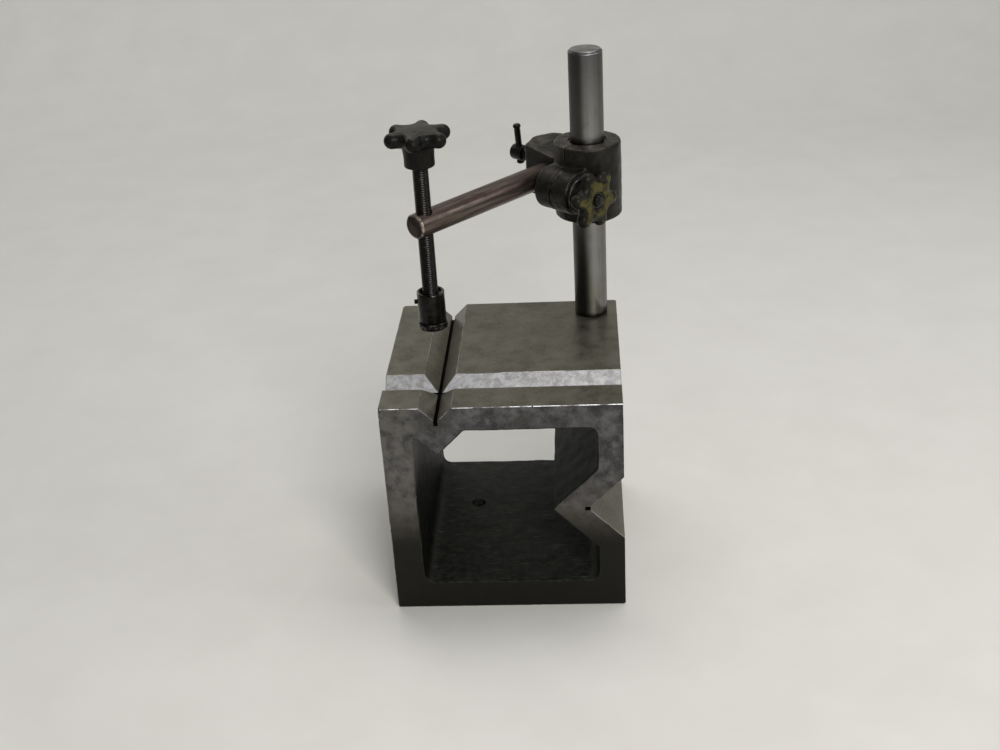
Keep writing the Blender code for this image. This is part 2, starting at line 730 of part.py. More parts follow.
def build_retainer():
    reach = 4.1 * MM
    screw = rod("shoe_retaining_screw", RETAINER_RADIUS, reach, SHOE_RADIUS + 1.9 * MM, 0.35 * MM, 20)
    place(screw, (0, 0, 0), ALONG_X, retainer_axis)
    slot_low = (-3 * MM, -0.3 * MM, SHOE_RADIUS + MM)
    slot = box("retainer_slot", slot_low, (3 * MM, 0.3 * MM, SHOE_RADIUS + 3 * MM))
    place(slot, (0, 0, 0), ALONG_X, retainer_axis)
    cut(screw, [slot])
    return link_part(screw, black_steel)


clear_scene()
parts = make_collection("clamp_v_block")
cutters = make_collection("cutters")

cast_iron = make_material("cast iron", (0.18, 0.17, 0.15), 0.55, 0.6)
ground_steel = make_material("ground steel", (0.42, 0.41, 0.39), 0.25, 1.0)
arm_steel = make_material("arm steel", (0.26, 0.23, 0.20), 0.35, 1.0)
black_iron = make_material("black iron", (0.06, 0.06, 0.05), 0.5, 0.6)
black_steel = make_material("black steel", (0.03, 0.03, 0.03), 0.35, 0.8)
knob_iron = make_material("worn knob", (0.16, 0.14, 0.07), 0.5, 0.4)
knob_black = make_material("black knob", (0.04, 0.04, 0.035), 0.4, 0.4)
bronze = make_material("bronze", (0.35, 0.22, 0.09), 0.4, 1.0)

bracket_frame = make_empty("bracket_frame", (COLUMN_X, COLUMN_Y, 0), (0, 0, math.radians(BRACKET_TURN)))
knob_axis = make_empty("knob_axis", (0, STUD_OFFSET, STUD_HEIGHT), parent=bracket_frame)
t_axis = make_empty("t_axis", (0, T_SCREW_OFFSET, T_SCREW_HEIGHT), parent=bracket_frame)
bar_place = (T_HEAD_LEFT + T_HEAD_LENGTH / 2, 0, 0)
bar_axis = make_empty("bar_axis", bar_place, (math.radians(BAR_LEAN), 0, 0), t_axis)
screw_axis = make_empty("screw_axis", (ARM_OFFSET, SCREW_PLACE, 0), parent=bracket_frame)
retainer_turn = (0, 0, math.radians(RETAINER_TURN))
retainer_axis = make_empty("retainer_axis", (0, 0, RETAINER_HEIGHT), retainer_turn, screw_axis)

build_block()
build_column()
build_grub_screw()
build_sleeve()
build_bracket()
build_clamp_stud()
build_stud_pin()
build_washer()
build_clamp_knob()
build_clamp_knob_bush()
build_t_screw()
build_tommy_bar()
build_pad()
build_arm()
build_clamp_screw()
build_top_knob()
build_top_knob_bush()
build_top_knob_pin()
build_shoe_socket()
build_shoe_foot()
build_ball()
build_retainer()
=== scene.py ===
"""Looks for the V-block with column clamp: detailed castings, threads, knobs and worn steel."""
import json
import math

import bmesh
import bpy
from mathutils import Matrix, Vector, noise


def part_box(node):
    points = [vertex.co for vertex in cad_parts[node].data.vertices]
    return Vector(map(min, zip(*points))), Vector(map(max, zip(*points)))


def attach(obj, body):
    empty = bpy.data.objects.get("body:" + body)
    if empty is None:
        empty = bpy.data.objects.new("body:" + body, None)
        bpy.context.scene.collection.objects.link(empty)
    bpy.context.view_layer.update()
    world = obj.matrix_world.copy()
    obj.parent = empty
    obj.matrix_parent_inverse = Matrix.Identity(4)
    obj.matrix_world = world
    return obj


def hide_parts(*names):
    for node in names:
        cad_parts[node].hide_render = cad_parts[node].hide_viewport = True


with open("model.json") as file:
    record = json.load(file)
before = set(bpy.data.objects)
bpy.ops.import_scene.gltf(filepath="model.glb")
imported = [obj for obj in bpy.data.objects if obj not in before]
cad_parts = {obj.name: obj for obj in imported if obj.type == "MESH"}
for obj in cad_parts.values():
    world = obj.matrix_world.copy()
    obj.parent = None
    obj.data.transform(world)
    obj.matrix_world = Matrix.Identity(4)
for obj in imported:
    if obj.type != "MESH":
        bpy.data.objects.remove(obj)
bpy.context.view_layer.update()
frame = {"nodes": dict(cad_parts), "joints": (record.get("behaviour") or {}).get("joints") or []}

MM = 0.001
GAP = 0.3 * MM

joints = {joint["name"]: joint for joint in frame["joints"]}
nodes = frame["nodes"]

SLIVER = 0.004 * MM
JUST_ABOVE_ZERO = 1e-7

# Block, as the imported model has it
BLOCK = 150 * MM
HALF = BLOCK / 2
SIDE_WALL = 19.5 * MM
FLOOR = 20 * MM
TOP_WALL = 16.5 * MM
V_CENTRE = 35 * MM
V_DEPTH = 10 * MM
SIDE_V_DEPTH = 22.5 * MM
RELIEF_WIDTH = 2 * MM
RELIEF_DEPTH = 3 * MM
TOP_RIB = 33.3 * MM
SIDE_RIB = 45.8 * MM
SPIGOT_HOLE_RADIUS = 6.3 * MM
DRAIN_PLACE = Vector((-26 * MM, 18.5 * MM, 0))
COLUMN_PLACE = Vector(joints["bracket_swivel"]["pos_m"]).xy
COLUMN_RADIUS = 11 * MM

QUARTER_X = Matrix.Rotation(math.pi / 2, 4, "X")
QUARTER_Z = Matrix.Rotation(math.pi / 2, 4, "Z")


def shift(x, y, z):
    return Matrix.Translation((x, y, z))


# Bracket frame: x along the knob's axis, y along the arm, z up the column
TURN = math.atan2(joints["clamp_knob_travel"]["axis"][1], joints["clamp_knob_travel"]["axis"][0])
BRACKET = shift(*COLUMN_PLACE, 0) @ Matrix.Rotation(TURN, 4, "Z")
LAY_ALONG_X = Matrix.Rotation(math.pi / 2, 4, "Y")
LAY_ALONG_Y = Matrix.Rotation(-math.pi / 2, 4, "X")
EARS_Y = -24 * MM
STUD_Z = 245 * MM
T_SCREW_Y = 9 * MM
T_SCREW_Z = 248 * MM
ARM_X = -27.4 * MM
ARM_Z = 247 * MM
CLAMP_SCREW_Y = -121 * MM
STUD_AXIS = BRACKET @ shift(0, EARS_Y, STUD_Z) @ LAY_ALONG_X
T_AXIS = BRACKET @ shift(0, T_SCREW_Y, T_SCREW_Z) @ LAY_ALONG_X
ARM_AXIS = BRACKET @ shift(ARM_X, 0, ARM_Z) @ LAY_ALONG_Y
SCREW_AXIS = BRACKET @ shift(ARM_X, CLAMP_SCREW_Y, 0)
BAR_LEAN = math.radians(5)
BAR_AXIS = (BRACKET @ shift(-71 * MM, T_SCREW_Y, T_SCREW_Z)
            @ Matrix.Rotation(BAR_LEAN, 4, "X"))
ARM_RADIUS = 8 * MM
THREAD_RADIUS = 4 * MM
PITCH = 1.25 * MM
CLAMP_SCREW_RADIUS = 5 * MM
CLAMP_SCREW_PITCH = 1.5 * MM
RETAINER_HEIGHT = 194.4 * MM


# ---------------------------------------------------------------- mesh helpers

def add(obj):
    bpy.context.scene.collection.objects.link(obj)
    return obj


def new_object(name, bm):
    mesh = bpy.data.meshes.new(name)
    bm.to_mesh(mesh)
    bm.free()
    return bpy.data.objects.new(name, mesh)


def closed_object(name, bm):
    bmesh.ops.recalc_face_normals(bm, faces=bm.faces)
    return new_object(name, bm)


def bake(obj):
    """The object's evaluated shape as a plain mesh object of the same name."""
    add(obj)
    bpy.context.view_layer.update()
    evaluated = obj.evaluated_get(bpy.context.evaluated_depsgraph_get())
    mesh = bpy.data.meshes.new_from_object(evaluated)
    name = obj.name
    bpy.data.objects.remove(obj, do_unlink=True)
    return bpy.data.objects.new(name, mesh)


def moved(obj, matrix):
    obj.data.transform(matrix)
    return obj


def roughen(obj, amount):
    """Moves each vertex along its normal by the amount that its place gives."""
    verts = obj.data.vertices
    normals = [vert.normal.copy() for vert in verts]
    for vert, normal in zip(verts, normals):
        vert.co += normal * amount(vert.co.copy())


def polar(radius, degrees):
    angle = math.radians(degrees)
    return radius * math.cos(angle), radius * math.sin(angle)


def arc(centre, radius, start, end, steps):
    points = []
    for step in range(steps + 1):
        x, y = polar(radius, start + (end - start) * step / steps)
        points.append((centre[0] + x, centre[1] + y))
    return points


def rounded(corners, steps, closed=True):
    """An outline with its corners rounded: each corner is (x, y, radius)."""
    points = []
    for index, (x, y, radius) in enumerate(corners):
        here = Vector((x, y))
        at_end = not closed and index in (0, len(corners) - 1)
        if radius == 0 or at_end:
            points.append(tuple(here))
            continue
        before = (Vector(corners[index - 1][:2]) - here).normalized()
        after = (Vector(corners[(index + 1) % len(corners)][:2]) - here).normalized()
        half = before.angle(after) / 2
        inward = (before + after).normalized()
        centre = here + inward * radius / math.sin(half)
        facing = math.degrees(math.atan2(-inward.y, -inward.x))
        sweep = 90 - math.degrees(half)
        if before.x * after.y - before.y * after.x > 0:
            sweep = -sweep
        points += arc(centre, radius, facing - sweep, facing + sweep, steps)
    return points


def prism(name, outline, depth):
    """An outline in x and y, thickened about its plane along z."""
    bm = bmesh.new()
    face = bm.faces.new([bm.verts.new((x, y, -depth / 2)) for x, y in outline])
    grown = bmesh.ops.extrude_face_region(bm, geom=[face])["geom"]
    top = [part for part in grown if isinstance(part, bmesh.types.BMVert)]
    bmesh.ops.translate(bm, vec=(0, 0, depth), verts=top)
    return closed_object(name, bm)


def turned(name, corners, segments=96, steps=3):
    """A turned solid about z. Corners are (radius, height, rounding), from the top down the outside."""
    profile = rounded(corners, steps, closed=corners[0][0] > 0)
    bm = bmesh.new()
    rings = []
    for radius, height in profile:
        if radius < JUST_ABOVE_ZERO:
            rings.append([bm.verts.new((0, 0, height))])
            continue
        ring = []
        for step in range(segments):
            angle = 2 * math.pi * step / segments
            ring.append(bm.verts.new((radius * math.cos(angle), radius * math.sin(angle), height)))
        rings.append(ring)
    pairs = list(zip(rings, rings[1:]))
    if corners[0][0] > 0:
        pairs.append((rings[-1], rings[0]))
    for upper, lower in pairs:
        join_rings(bm, upper, lower)
    return closed_object(name, bm)


def join_rings(bm, upper, lower):
    count = max(len(upper), len(lower))
    for step in range(count):
        following = (step + 1) % count
        if len(upper) == 1:
            corners = [upper[0], lower[step], lower[following]]
        elif len(lower) == 1:
            corners = [upper[step], lower[0], upper[following]]
        else:
            corners = [upper[step], lower[step], lower[following], upper[following]]
        bm.faces.new(corners)


def threaded(name, bottom, top, radius=THREAD_RADIUS, pitch=PITCH, plain=()):
    """A right-hand threaded rod about z with chamfered ends.

    Plain holds (low, high, radius) of the stretches without a thread.
    """
    columns = 36
    depth = 0.42 * pitch
    steps = ((0.0, 0), (0.14, 0), (0.5, depth), (0.64, depth))
    end = radius - depth - 0.1 * MM
    turns = int((top - bottom) / pitch) + 3
    bm = bmesh.new()
    layer = bm.verts.layers.float.new("crest")
    rows = []
    for turn in range(turns):
        for part, drop in steps:
            row = []
            for column in range(columns):
                share = column / columns
                height = bottom + pitch * (turn - 1 + part + share)
                reach = radius - drop
                for low, high, plain_radius in plain:
                    if low < height < high:
                        reach = plain_radius
                reach = min(reach, end + max(0, height - bottom), end + max(0, top - height))
                height = min(max(height, bottom), top)
                angle = 2 * math.pi * share
                vert = bm.verts.new((reach * math.cos(angle), reach * math.sin(angle), height))
                vert[layer] = 1 - (radius - reach) / depth
                row.append(vert)
            rows.append(row)
    per_turn = len(steps)
    for index in range(len(rows) - 1 - per_turn):
        for column in range(columns):
            following = (column + 1) % columns
            ahead = index if following else index + per_turn
            corners = (rows[index][column], rows[ahead][following],
                       rows[ahead + 1][following], rows[index + 1][column])
            bm.faces.new(corners)
    loose = [v for v in bm.verts if not v.link_faces]
    bmesh.ops.delete(bm, geom=loose, context="VERTS")
    bmesh.ops.remove_doubles(bm, verts=bm.verts, dist=1e-6)
    bmesh.ops.dissolve_degenerate(bm, edges=bm.edges, dist=1e-7)
    bmesh.ops.holes_fill(bm, edges=bm.edges, sides=0)
    return closed_object(name, bm)


def boolean(obj, other, operation="DIFFERENCE"):
    add(other)
    other.hide_render = True
    modifier = obj.modifiers.new("Boolean", "BOOLEAN")
    modifier.operation = operation
    modifier.object = other
    modifier.solver = "MANIFOLD"
    modifier.material_mode = "TRANSFER"


def without_slivers(obj):
    """Merges the vertices that a cut left almost on top of each other."""
    bm = bmesh.new()
    bm.from_mesh(obj.data)
    bmesh.ops.triangulate(bm, faces=[face for face in bm.faces if len(face.verts) > 4])
    bmesh.ops.remove_doubles(bm, verts=bm.verts, dist=SLIVER)
    bmesh.ops.dissolve_degenerate(bm, edges=bm.edges, dist=SLIVER)
    bm.to_mesh(obj.data)
    bm.free()
    return obj


def cut(obj, others):
    """Subtracts the others and throws them away."""
    for other in others:
        boolean(obj, other)
    result = bake(obj)
    for other in others:
        bpy.data.objects.remove(other, do_unlink=True)
    return without_slivers(result)


def rod(name, radius, low, high, segments=48):
    return turned(name, [(0, high, 0), (radius, high, 0), (radius, low, 0), (0, low, 0)], segments)


def painted(obj, *materials):
    obj.data.materials.clear()
    for material in materials:
        obj.data.materials.append(material)
    return obj


def finish_piece(obj, body, replaced, own=None, angle=38, weighted=False):
    """Smooths, rides on its body and stands for its CAD node. Own is the piece's own frame."""
    if own is not None:
        obj.data.transform(own.inverted())
        obj.matrix_world = own
    if obj.name not in bpy.context.scene.collection.objects:
        add(obj)
    obj.data.shade_smooth()
    obj.data.set_sharp_from_angle(angle=math.radians(angle))
    if weighted:
        modifier = obj.modifiers.new("Flat faces", "WEIGHTED_NORMAL")
        modifier.keep_sharp = True
        modifier.weight = 80
    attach(obj, body)
    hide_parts(replaced)


def mount(obj, material, body, replaced, axis, angle=38):
    """Paints a piece made about z, lays it along its axis and finishes it there."""
    painted(obj, material)
    moved(obj, axis)
    finish_piece(obj, body, replaced, axis, angle)


# ---------------------------------------------------------------- material helpers

class Look:
    """One material's node tree, with short calls for the nodes it needs."""

    def __init__(self, name, metallic=0.0, coat=0.0, coat_roughness=0.2, specular=0.5):
        self.material = bpy.data.materials.new(name)
        self.material.use_nodes = True
        self.tree = self.material.node_tree
        self.shader = self.tree.nodes["Principled BSDF"]
        for key, value in {"Metallic": metallic, "Coat Weight": coat, "Coat Roughness": coat_roughness,
                           "Specular IOR Level": specular}.items():
            self.shader.inputs[key].default_value = value
        self.coords = self.tree.nodes.new("ShaderNodeTexCoord").outputs["Object"]

    def node(self, kind, **inputs):
        node = self.tree.nodes.new(kind)
        for key, value in inputs.items():
            self.set(node.inputs[key.replace("_", " ")], value)
        return node

    def set(self, socket, value):
        if isinstance(value, bpy.types.NodeSocket):
            self.tree.links.new(value, socket)
        else:
            socket.default_value = value

    def stretched(self, x, y, z):
        return self.node("ShaderNodeMapping", Vector=self.coords, Scale=(x, y, z)).outputs["Vector"]

    def noise(self, size, detail=4.0, rough=0.6, distortion=0.0, vector=None):
        """Noise whose features are about size metres across, or size units of the vector given."""
        node = self.node("ShaderNodeTexNoise", Vector=vector or self.coords, Scale=1.0 / size,
                         Detail=detail, Roughness=rough, Distortion=distortion)
        return node.outputs["Fac"]

    def ranged(self, value, low, high, to_low=0.0, to_high=1.0, kind="LINEAR"):
        node = self.node("ShaderNodeMapRange", Value=value, From_Min=low, From_Max=high,
                         To_Min=to_low, To_Max=to_high)
        node.interpolation_type = kind
        return node.outputs["Result"]

    def step(self, value, low, high, top=None):
        """0 below low, 1 or the top value above high, smooth between."""
        share = self.ranged(value, low, high, kind="SMOOTHSTEP")
        return share if top is None else self.times(share, top)

    def maths(self, operation, first, second=0.0):
        node = self.tree.nodes.new("ShaderNodeMath")
        node.operation = operation
        self.set(node.inputs[0], first)
        self.set(node.inputs[1], second)
        return node.outputs[0]

    def times(self, first, second):
        return self.maths("MULTIPLY", first, second)

    def plus(self, first, second):
        return self.maths("ADD", first, second)

    def mix(self, share, first, second):
        node = self.tree.nodes.new("ShaderNodeMix")
        node.data_type = "RGBA"
        self.set(node.inputs["Factor"], share)
        self.set(node.inputs[6], first if isinstance(first, bpy.types.NodeSocket) else (*first, 1))
        self.set(node.inputs[7], second if isinstance(second, bpy.types.NodeSocket) else (*second, 1))
        return node.outputs[2]

    def part(self, vector, name):
        node = self.tree.nodes.new("ShaderNodeSeparateXYZ")
        self.set(node.inputs[0], vector)
        return node.outputs[name]

    def blend(self, value, low, high, first, second):
        """First where the value is below low, second above high."""
        return self.mix(self.step(value, low, high), first, second)

    def axis(self, name):
        return self.part(self.coords, name)

    def side(self, name):
        """One part of the surface normal with its sign, in the object's own frame."""
        return self.part(self.tree.nodes.new("ShaderNodeTexCoord").outputs["Normal"], name)

    def facing(self, name):
        """The size of one part of the surface normal, in the object's own frame."""
        return self.maths("ABSOLUTE", self.side(name))

    def attribute(self, name):
        node = self.tree.nodes.new("ShaderNodeAttribute")
        node.attribute_name = name
        return node.outputs["Fac"]

    def bump(self, height, distance, strength, under=None):
        node = self.node("ShaderNodeBump", Height=height, Distance=distance, Strength=strength)
        if under is not None:
            self.set(node.inputs["Normal"], under)
        return node.outputs["Normal"]

    def finish(self, colour, roughness, normal=None):
        self.set(self.shader.inputs["Base Color"], colour)
        self.set(self.shader.inputs["Roughness"], roughness)
        if normal is not None:
            self.set(self.shader.inputs["Normal"], normal)
        return self.material


def ground_iron():
    """Ground faces: olive-grey top and sides, mottled scraped ends that darken towards the floor, with a
    painted dark reflection near the bottom.
    """
    look = Look("ground_iron", metallic=0.75)
    fine = look.noise(0.45 * MM, 3)
    patches = look.noise(11 * MM, 5, 0.65)
    stains = look.noise(38 * MM, 4, 0.6, 0.4)
    top = look.blend(patches, 0.32, 0.68, (0.098, 0.089, 0.064), (0.160, 0.150, 0.118))
    top = look.blend(stains, 0.52, 0.75, top, (0.070, 0.061, 0.043))
    speckle = look.noise(1.1 * MM, 3, 0.7)
    top = look.mix(look.step(speckle, 0.50, 0.70, 0.6), top, (0.215, 0.200, 0.155))
    top = look.blend(fine, 0.55, 0.78, top, (0.235, 0.222, 0.185))
    mottle = look.noise(7 * MM, 4, 0.6)
    cloud = look.noise(19 * MM, 4, 0.6)
    front = look.blend(mottle, 0.32, 0.70, (0.040, 0.038, 0.041), (0.136, 0.133, 0.138))
    front = look.mix(look.step(cloud, 0.42, 0.66, 0.7), front, (0.055, 0.050, 0.045))
    front = look.mix(look.step(fine, 0.52, 0.78, 0.5), front, (0.19, 0.187, 0.185))
    leg = look.times(look.step(look.axis("X"), -48 * MM, -58 * MM),
                     look.ranged(mottle, 0.35, 0.65, 0.1, 0.75))
    front = look.mix(leg, front, (0.150, 0.142, 0.132))
    brown = look.step(look.axis("Z"), 105 * MM, 62 * MM, 0.6)
    front = look.mix(brown, front, (0.078, 0.066, 0.050))
    # Painted dark reflection: the front faces go near black towards the floor.
    low = look.step(look.axis("Z"), 80 * MM, 46 * MM, 0.95)
    front = look.mix(low, front, (0.010, 0.009, 0.0065))
    is_front = look.step(look.facing("Y"), 0.75, 0.9)
    colour = look.mix(is_front, top, front)
    streaks = look.noise(1, 3, 0.6, vector=look.stretched(90, 2600, 900))
    height = look.plus(look.times(streaks, 0.5), look.times(mottle, is_front))
    rough = look.ranged(patches, 0.3, 0.7, 0.22, 0.34)
    rough = look.plus(rough, look.times(fine, 0.08))
    rough = look.plus(rough, look.times(is_front, 0.16))
    return look.finish(colour, rough, look.bump(height, 0.12 * MM, 0.6, look.bump(fine, 0.05 * MM, 0.5)))


def flank_with_painted_highlight():
    """Ground flanks with grey blotches, painted much lighter than the top as a painted highlight."""
    look = Look("flank_with_painted_highlight", metallic=0.8)
    mottle = look.noise(6 * MM, 5, 0.65, 0.5)
    fine = look.noise(0.8 * MM, 3)
    # Painted highlight: the flanks' colours are far lighter than the ground top's.
    colour = look.blend(mottle, 0.34, 0.68, (0.30, 0.292, 0.290), (0.62, 0.61, 0.615))
    colour = look.blend(fine, 0.55, 0.8, colour, (0.78, 0.77, 0.77))
    streaks = look.noise(1, 3, 0.6, vector=look.stretched(120, 2600, 2600))
    rough = look.ranged(mottle, 0.3, 0.7, 0.46, 0.34)
    return look.finish(colour, rough, look.bump(streaks, 0.08 * MM, 0.6))


def worn_edge_and_highlight():
    """Rubbed edges, with a painted highlight along the top of the front face, broken by darker
    stretches.
    """
    look = Look("worn_edge_and_highlight", metallic=0.85)
    patches = look.noise(9 * MM, 5, 0.7)
    fine = look.noise(1.2 * MM, 3)
    dull = look.blend(patches, 0.38, 0.62, (0.105, 0.098, 0.085), (0.34, 0.33, 0.31))
    bright = look.blend(patches, 0.38, 0.60, (0.12, 0.115, 0.11), (0.86, 0.86, 0.88))
    at_front = look.step(look.axis("Y"), -74.2 * MM, -74.6 * MM)
    at_top = look.step(look.axis("Z"), 139 * MM, 141 * MM)
    # Painted highlight: the top edge of the front face goes near white in patches; elsewhere the edges
    # are rubbed.
    colour = look.mix(look.times(at_front, at_top), dull, bright)
    return look.finish(colour, look.ranged(fine, 0.2, 0.8, 0.26, 0.44), look.bump(fine, 0.08 * MM, 0.5))


def cast_inside():
    """As-cast inside walls: green-black paint over rough iron, with painted shade that makes the left
    wall darkest, greyer at the mouth's upper left."""
    look = Look("cast_inside", metallic=0.2, specular=0.16)
    lumps = look.noise(5 * MM, 5, 0.6)
    grain = look.noise(1.1 * MM, 4, 0.65)
    scratches = look.noise(1, 4, 0.6, 0.3, vector=look.stretched(110, 800, 420))
    colour = look.blend(lumps, 0.35, 0.7, (0.0060, 0.0070, 0.0052), (0.023, 0.026, 0.020))
    colour = look.blend(scratches, 0.58, 0.74, colour, (0.062, 0.062, 0.053))
    colour = look.blend(grain, 0.66, 0.8, colour, (0.060, 0.060, 0.052))
    high = look.step(look.axis("Z"), 84 * MM, 118 * MM)
    left = look.step(look.axis("X"), -30 * MM, -50 * MM)
    near = look.step(look.axis("Y"), 20 * MM, -60 * MM)
    corner = look.times(look.times(high, left), near)
    corner = look.times(corner, look.ranged(lumps, 0.35, 0.65, 0.45, 1.0))
    # Painted shade: faces turned towards +X, the left wall, go near black.
    shaded = look.step(look.side("X"), 0.5, 0.9, 0.95)
    colour = look.mix(shaded, colour, (0.0015, 0.0015, 0.0012))
    colour = look.mix(corner, colour, (0.125, 0.115, 0.105))
    normal = look.bump(grain, 0.35 * MM, 0.7, look.bump(scratches, 0.3 * MM, 0.5))
    return look.finish(colour, look.ranged(lumps, 0.3, 0.7, 0.46, 0.64), normal)


def column_steel():
    """Ground bar: fine rings, faint length scratches, painted shade on the side facing -X, a painted
    highlight band and a painted duller grey on the side facing +X, darker just above the foot.
    """
    look = Look("column_steel", metallic=1.0)
    tangent = look.tree.nodes.new("ShaderNodeTangent")
    tangent.direction_type = "RADIAL"
    tangent.axis = "Z"
    look.set(look.shader.inputs["Tangent"], tangent.outputs[0])
    look.shader.inputs["Anisotropic"].default_value = 0.75
    rings = look.noise(1, 3, 0.6, vector=look.stretched(30, 30, 5200))
    lengths = look.noise(1, 4, 0.6, vector=look.stretched(1600, 1600, 22))
    stains = look.noise(14 * MM, 5, 0.65, 0.3)
    colour = look.blend(stains, 0.40, 0.75, (0.235, 0.232, 0.228), (0.185, 0.176, 0.158))
    colour = look.mix(look.step(lengths, 0.58, 0.74, 0.6), colour, (0.12, 0.105, 0.085))
    around = look.side("X")
    # Painted shade: faces turned towards -X are darkened.
    painted_shade_side = look.step(around, -0.05, -0.42, 0.80)
    colour = look.mix(painted_shade_side, colour, (0.045, 0.043, 0.040))
    # Painted highlight: a lighter band on faces turned a little towards +X.
    painted_highlight_band = look.times(look.step(around, 0.02, 0.20), look.step(around, 0.52, 0.36))
    colour = look.mix(look.times(painted_highlight_band, 0.75), colour, (0.27, 0.268, 0.266))
    # Painted shade: faces turned further towards +X are dulled to a mid olive-grey.
    dull = look.step(around, 0.55, 0.80, 0.55)
    colour = look.mix(dull, colour, (0.125, 0.120, 0.100))
    # Darker for the last few millimetres above the foot.
    colour = look.blend(look.axis("Z"), 154.5 * MM, 151.0 * MM, colour, (0.03, 0.026, 0.020))
    rough = look.plus(look.ranged(stains, 0.3, 0.7, 0.26, 0.32), look.times(rings, 0.08))
    normal = look.bump(rings, 0.03 * MM, 0.5, look.bump(lengths, 0.03 * MM, 0.5))
    return look.finish(colour, rough, normal)


def arm_steel():
    """Handled bar: brown steel with rust-brown and black streaks along it, with a painted highlight on
    the rims.
    """
    look = Look("arm_steel", metallic=0.9)
    along = look.noise(1, 5, 0.62, 0.2, vector=look.stretched(330, 330, 16))
    blotches = look.noise(1, 5, 0.65, 0.5, vector=look.stretched(150, 150, 55))
    fine = look.noise(0.9 * MM, 3)
    colour = look.blend(along, 0.36, 0.62, (0.155, 0.130, 0.106), (0.076, 0.052, 0.044))
    colour = look.mix(look.step(blotches, 0.52, 0.70, 0.7), colour, (0.045, 0.024, 0.022))
    colour = look.blend(fine, 0.60, 0.80, colour, (0.26, 0.215, 0.175))
    end = look.blend(blotches, 0.42, 0.58, (0.052, 0.038, 0.032), (0.018, 0.011, 0.010))
    colour = look.mix(look.attribute("end"), colour, end)
    # Painted highlight: the marked rims are lightened in broken stretches.
    rim = look.times(look.attribute("rim"), look.step(blotches, 0.58, 0.42))
    colour = look.mix(rim, colour, (0.42, 0.36, 0.30))
    rough = look.ranged(blotches, 0.3, 0.7, 0.28, 0.46)
    return look.finish(colour, rough, look.bump(along, 0.06 * MM, 0.5, look.bump(fine, 0.05 * MM, 0.5)))


def edge_wear(look, low=0.53, high=0.60):
    """1 on sharp outer edges, from the mesh's own pointiness."""
    return look.step(look.tree.nodes.new("ShaderNodeNewGeometry").outputs["Pointiness"], low, high)


def black_casting():
    """Blackened rough casting under oil, rubbed grey-brown in patches, more so on upward faces as
    painted light from above, and bright at its edges.
    """
    look = Look("black_casting", metallic=0.5, coat=0.08, coat_roughness=0.2, specular=0.2)
    lumps = look.noise(6 * MM, 4, 0.6)
    grain = look.noise(0.9 * MM, 4, 0.65)
    worn = look.noise(15 * MM, 5, 0.68, 0.3)
    colour = look.blend(lumps, 0.35, 0.7, (0.0060, 0.0060, 0.0045), (0.017, 0.0165, 0.013))
    # Painted light: upward faces get more of the grey-brown, as lit from above; the patches elsewhere
    # are rubbing.
    up = look.step(look.facing("Z"), 0.6, 0.95)
    rubbed = look.plus(look.times(up, 0.75), 0.22)
    rubbed = look.times(look.step(worn, 0.44, 0.66), rubbed)
    colour = look.mix(rubbed, colour, (0.062, 0.050, 0.040))
    colour = look.blend(grain, 0.66, 0.8, colour, (0.085, 0.080, 0.065))
    edges = look.times(edge_wear(look), look.step(worn, 0.40, 0.58))
    colour = look.mix(edges, colour, (0.17, 0.155, 0.135))
    normal = look.bump(grain, 0.22 * MM, 0.7, look.bump(lumps, 0.5 * MM, 0.35))
    return look.finish(colour, look.ranged(worn, 0.3, 0.7, 0.34, 0.52), normal)


def machined_dark():
    """Bored and spot-faced metal in the black casting."""
    look = Look("machined_dark", metallic=0.8, coat=0.15)
    blotches = look.noise(3 * MM, 4, 0.6)
    fine = look.noise(0.5 * MM, 3)
    colour = look.blend(blotches, 0.4, 0.65, (0.030, 0.028, 0.024), (0.095, 0.088, 0.078))
    return look.finish(colour, look.ranged(fine, 0.2, 0.8, 0.28, 0.42), look.bump(fine, 0.06 * MM, 0.5))


def black_screw():
    """Blackened threads wet with oil, bright on rubbed crests."""
    look = Look("black_screw", metallic=0.9, coat=0.04, coat_roughness=0.10)
    patches = look.noise(3 * MM, 4, 0.65)
    grain = look.noise(0.5 * MM, 3)
    crest = look.step(look.attribute("crest"), 0.80, 0.98)
    rubbed = look.times(crest, look.step(patches, 0.58, 0.70))
    colour = look.blend(grain, 0.4, 0.7, (0.008, 0.0075, 0.007), (0.028, 0.024, 0.021))
    colour = look.mix(rubbed, colour, (0.10, 0.092, 0.085))
    rough = look.ranged(patches, 0.3, 0.7, 0.26, 0.42)
    return look.finish(colour, rough, look.bump(grain, 0.10 * MM, 0.8))


def black_turned():
    """Smooth blackened steel wet with oil."""
    look = Look("black_turned", metallic=0.9, coat=0.05, coat_roughness=0.08)
    patches = look.noise(5 * MM, 4, 0.65, 0.3)
    grain = look.noise(0.7 * MM, 3)
    rings = look.noise(1, 3, 0.6, vector=look.stretched(60, 60, 3500))
    colour = look.blend(patches, 0.4, 0.68, (0.006, 0.006, 0.005), (0.019, 0.018, 0.015))
    colour = look.blend(grain, 0.72, 0.86, colour, (0.09, 0.085, 0.075))
    # Painted highlight: marked rims are lightened in patches.
    rim = look.times(look.attribute("rim"), look.step(patches, 0.46, 0.64))
    colour = look.mix(rim, colour, (0.16, 0.15, 0.14))
    normal = look.bump(rings, 0.04 * MM, 0.5, look.bump(grain, 0.12 * MM, 0.7))
    return look.finish(colour, look.ranged(patches, 0.3, 0.7, 0.16, 0.34), normal)


